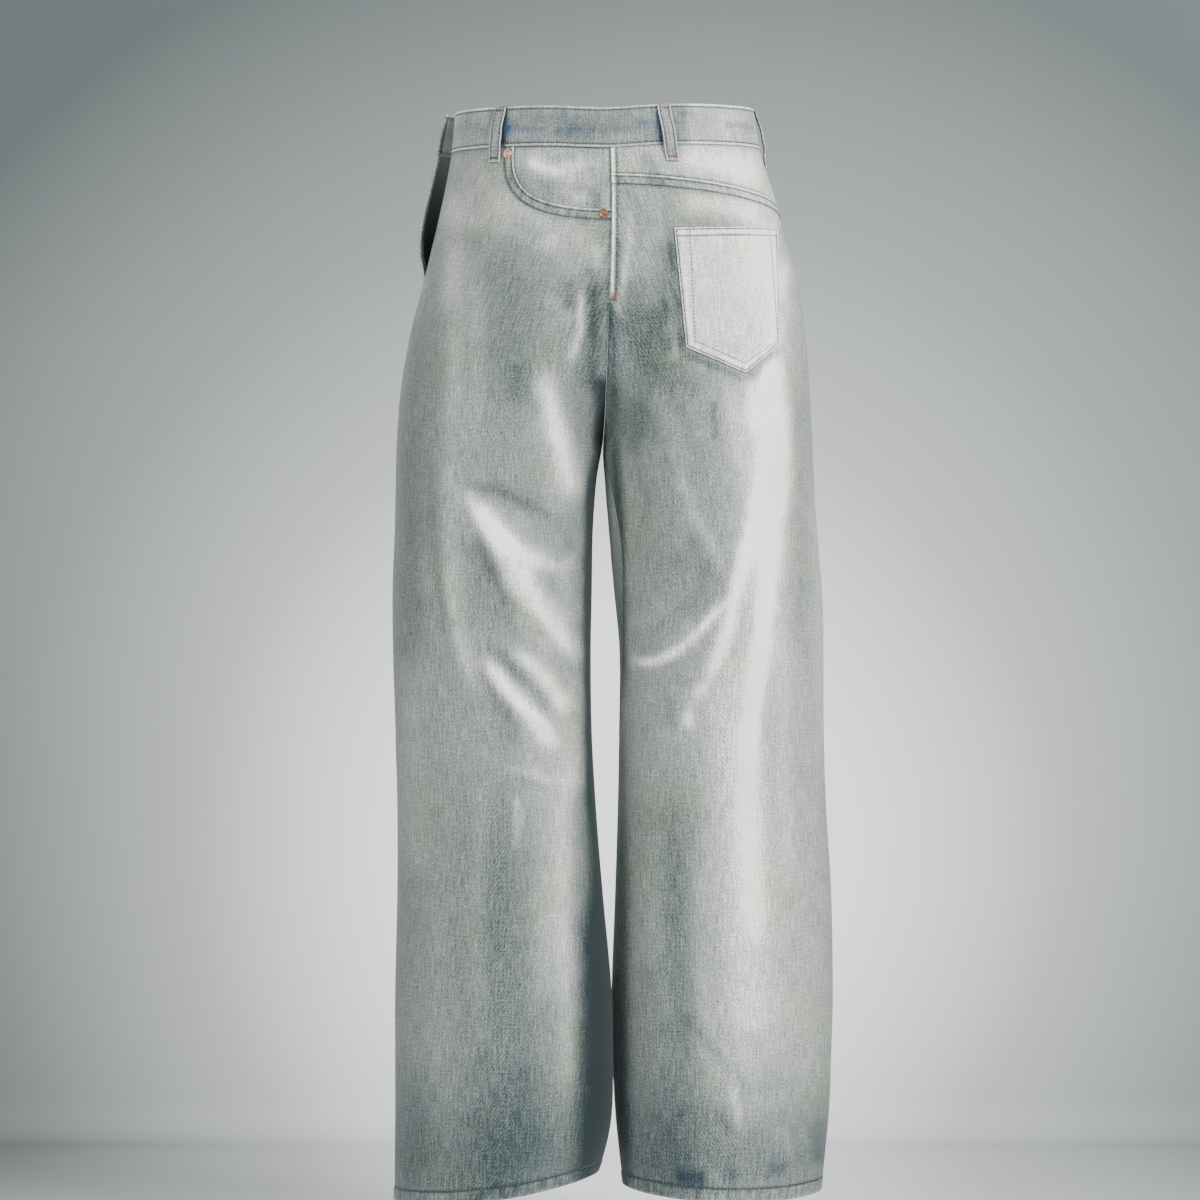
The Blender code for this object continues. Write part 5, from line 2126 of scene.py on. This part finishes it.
@dataclass
class Studio:
    """A pale floor that sweeps up into the wall, soft lights and the camera."""

    floor_z: float = -1.112
    wall_y: float = 1.15
    sweep: float = 0.05
    half_width: float = 6.0
    camera_place: tuple[float, float, float] = (-0.006, -6.0, -0.468)
    lens_mm: float = 180.0
    # Tones of the sweep's painted pool of light, from its dim edges to its bright middle
    tones: tuple[tuple[float, int], ...] = (
        (0.1, 0x565E5E), (0.4, 0x8C9292), (0.6, 0xB8BBBB), (0.8, 0xFAFAFA),
    )

    def build(self) -> None:
        """Builds the sweep, the lights, the world and the camera."""
        self.backdrop()
        self.light("key_light", (2.3, -2.8, 1.3), (0.0, 0.0, -0.5), 1.5, 255.0)
        self.light("fill_light", (-2.4, -3.6, 0.3), (0.0, 0.0, -0.6), 2.4, 155.0)
        self.light("wall_light", (1.3, 0.35, 0.3), (0.0, 1.15, -0.7), 0.9, 9.0)
        # Parallel to the wall, so that it lights only the garment's back and the floor
        self.light("back_light", (-0.9, 1.12, 0.75), (-0.9, 0.0, 0.75), 0.9, 50.0)
        world = bpy.data.worlds.new("soft_room")
        bpy.context.scene.world = world
        world.use_nodes = True
        sky = world.node_tree.nodes["Background"]
        sky.inputs["Color"].default_value = linear(0xDDE2E4)
        sky.inputs["Strength"].default_value = 0.35
        lens = bpy.data.cameras.new("camera")
        lens.lens, lens.sensor_width = self.lens_mm, 36.0
        lens.clip_end = 40.0
        camera = placed("camera", lens)
        camera.location = self.camera_place
        camera.rotation_euler = (math.pi / 2, 0.0, 0.0)
        bpy.context.scene.camera = camera

    def light(self, name: str, place: tuple[float, float, float], aim: tuple[float, float, float],
              size: float, power_w: float) -> None:
        """Adds a soft square light.

        Args:
            name: Its name.
            place: Where it stands.
            aim: What it points at.
            size: Its side in metres.
            power_w: Its power in watts.
        """
        lamp = bpy.data.lights.new(name, "AREA")
        lamp.energy, lamp.size = power_w, size
        made = placed(name, lamp)
        made.location = place
        way = Vector(aim) - Vector(place)
        made.rotation_euler = way.to_track_quat("-Z", "Y").to_euler()

    def backdrop(self) -> None:
        """Adds the floor and wall as one swept sheet."""
        bend = np.linspace(0, math.pi / 2, 9)
        profile = [(-9.0, 0.0)]
        profile += [
            (self.wall_y - self.sweep * (1 - math.sin(a)), self.sweep * (1 - math.cos(a))) for a in bend
        ]
        profile += [(self.wall_y, 5.0)]
        points = [(s * self.half_width, y, self.floor_z + z) for y, z in profile for s in (-1, 1)]
        faces = [(2 * k, 2 * k + 1, 2 * k + 3, 2 * k + 2) for k in range(len(profile) - 1)]
        mesh = bpy.data.meshes.new("studio_sweep")
        mesh.from_pydata(points, [], faces)
        mesh.shade_smooth()
        sweep = placed("studio_sweep", mesh)
        material, tree, shader = new_material("painted_sweep")
        place = put(tree, "ShaderNodeTexCoord", {}).node.outputs["Object"]
        # A painted pool of light: the wall is palest behind the garment and darker towards its upper left
        centred = put(tree, "ShaderNodeMapping", {
            "Vector": place, "Location": (-0.02, 0.0, 0.64), "Scale": (0.84, 0.0, 0.85)})
        painted_light_pool = put(tree, "ShaderNodeTexGradient", {"Vector": centred}, gradient_type="SPHERICAL")
        cloud = put(tree, "ShaderNodeTexNoise", {"Vector": place, "Scale": 1.2, "Detail": 1.0})
        level = put(tree, "ShaderNodeMath", {0: cloud, 1: 0.08, 2: painted_light_pool}, operation="MULTIPLY_ADD")
        tree.links.new(toned(tree, level, self.tones), shader.inputs["Base Color"])
        shader.inputs["Roughness"].default_value = 0.9
        # The sweep has one painted side, so that it never hides the garment's back
        one_sided = tree.nodes.new("ShaderNodeMixShader")
        behind = tree.nodes.new("ShaderNodeBsdfTransparent")
        side = tree.nodes.new("ShaderNodeNewGeometry")
        tree.links.new(side.outputs["Backfacing"], one_sided.inputs[0])
        tree.links.new(shader.outputs[0], one_sided.inputs[1])
        tree.links.new(behind.outputs[0], one_sided.inputs[2])
        tree.links.new(one_sided.outputs[0], tree.nodes["Material Output"].inputs["Surface"])
        mesh.materials.append(material)


def main() -> None:
    """Builds the garment piece by piece, then the studio."""
    logging.basicConfig(level=logging.INFO, format="%(name)s %(message)s")
    left_front = MouthPanel("front_panel_left", LEFT, FRONT, (330, 1046), 295000, number=0)
    left_back = LegPanel("back_panel_left", LEFT, BACK, (345, 1046), 300000, top=PLAIN_SEAM, number=1)
    right_front = LegPanel("front_panel_right", RIGHT, FRONT, (330, 1010), 290000, number=2)
    right_back = LegPanel("back_panel_right", RIGHT, BACK, (345, 1010), 300000, number=3)
    panels = [left_front, left_back, right_front, right_back]
    for panel in panels:
        panel.build()
    yoke_front = Yoke("yoke_front", RIGHT, FRONT, (220, 62), 9500)
    yoke_back = Yoke("yoke_back", RIGHT, BACK, (225, 62), 9500, number=5)
    facing = Yoke("pocket_facing", LEFT, FRONT, (120, 78), 8800, FACING_DENIM, "facing_denim", 1.2,
                  start_f=FORM.mouth_start() * 5 / 6, low_z=-96.0, sunk=1.95, number=6)
    for piece in (yoke_front, yoke_back, facing):
        piece.build()
    band = Waistband()
    band.build()
    pocket = PatchPocket()
    pocket.build()
    loops = BeltLoops()
    loops.build()
    Rivet("rivet_upper", -96.5, -28.5, PINK_COPPER).build()
    Rivet("rivet_lower", -2.5, -88.5, DARK_COPPER).build()
    sides, top = pocket.runs()
    rows, tacks = Sewing(), Sewing(Thread(radius=0.45, length=1.6, pitch=1.2))
    for sewing, name, runs, finish in (
        (rows, "stitches_waistband", band.runs(), GREY_THREAD),
        (rows, "stitches_pocket_mouth", left_front.top_runs(), GREY_THREAD),
        (rows, "stitches_yoke", right_front.top_runs() + right_back.top_runs(), GREY_THREAD),
        (rows, "stitches_centre", [yoke_front.centre_run(-168)], GREY_THREAD),
        (rows, "stitches_patch_pocket", sides, GREY_THREAD),
        (rows, "stitches_pocket_hem", top, RUST_THREAD),
        (rows, "stitches_hems", [panel.hem_run() for panel in panels], GREY_THREAD),
        (rows, "stitches_belt_loops", loops.runs(), GREY_THREAD),
        (tacks, "bar_tacks_grey", [run for k in (1, 3, 4, 5) for run in loops.tacks(k)], GREY_THREAD),
        (tacks, "bar_tacks_rust", loops.tacks(2), RUST_THREAD),
        (tacks, "bar_tack_centre", yoke_front.centre_tack(), COPPER_THREAD),
        (rows, "stitches_placket", [left_back.placket_run()], GREY_THREAD),
    ):
        piece = sewing.sew(name, runs, finish)
        LOG.info("%s: %d faces", piece.name, len(piece.data.polygons))
    Studio().build()


if __name__ == "__main__":
    main()
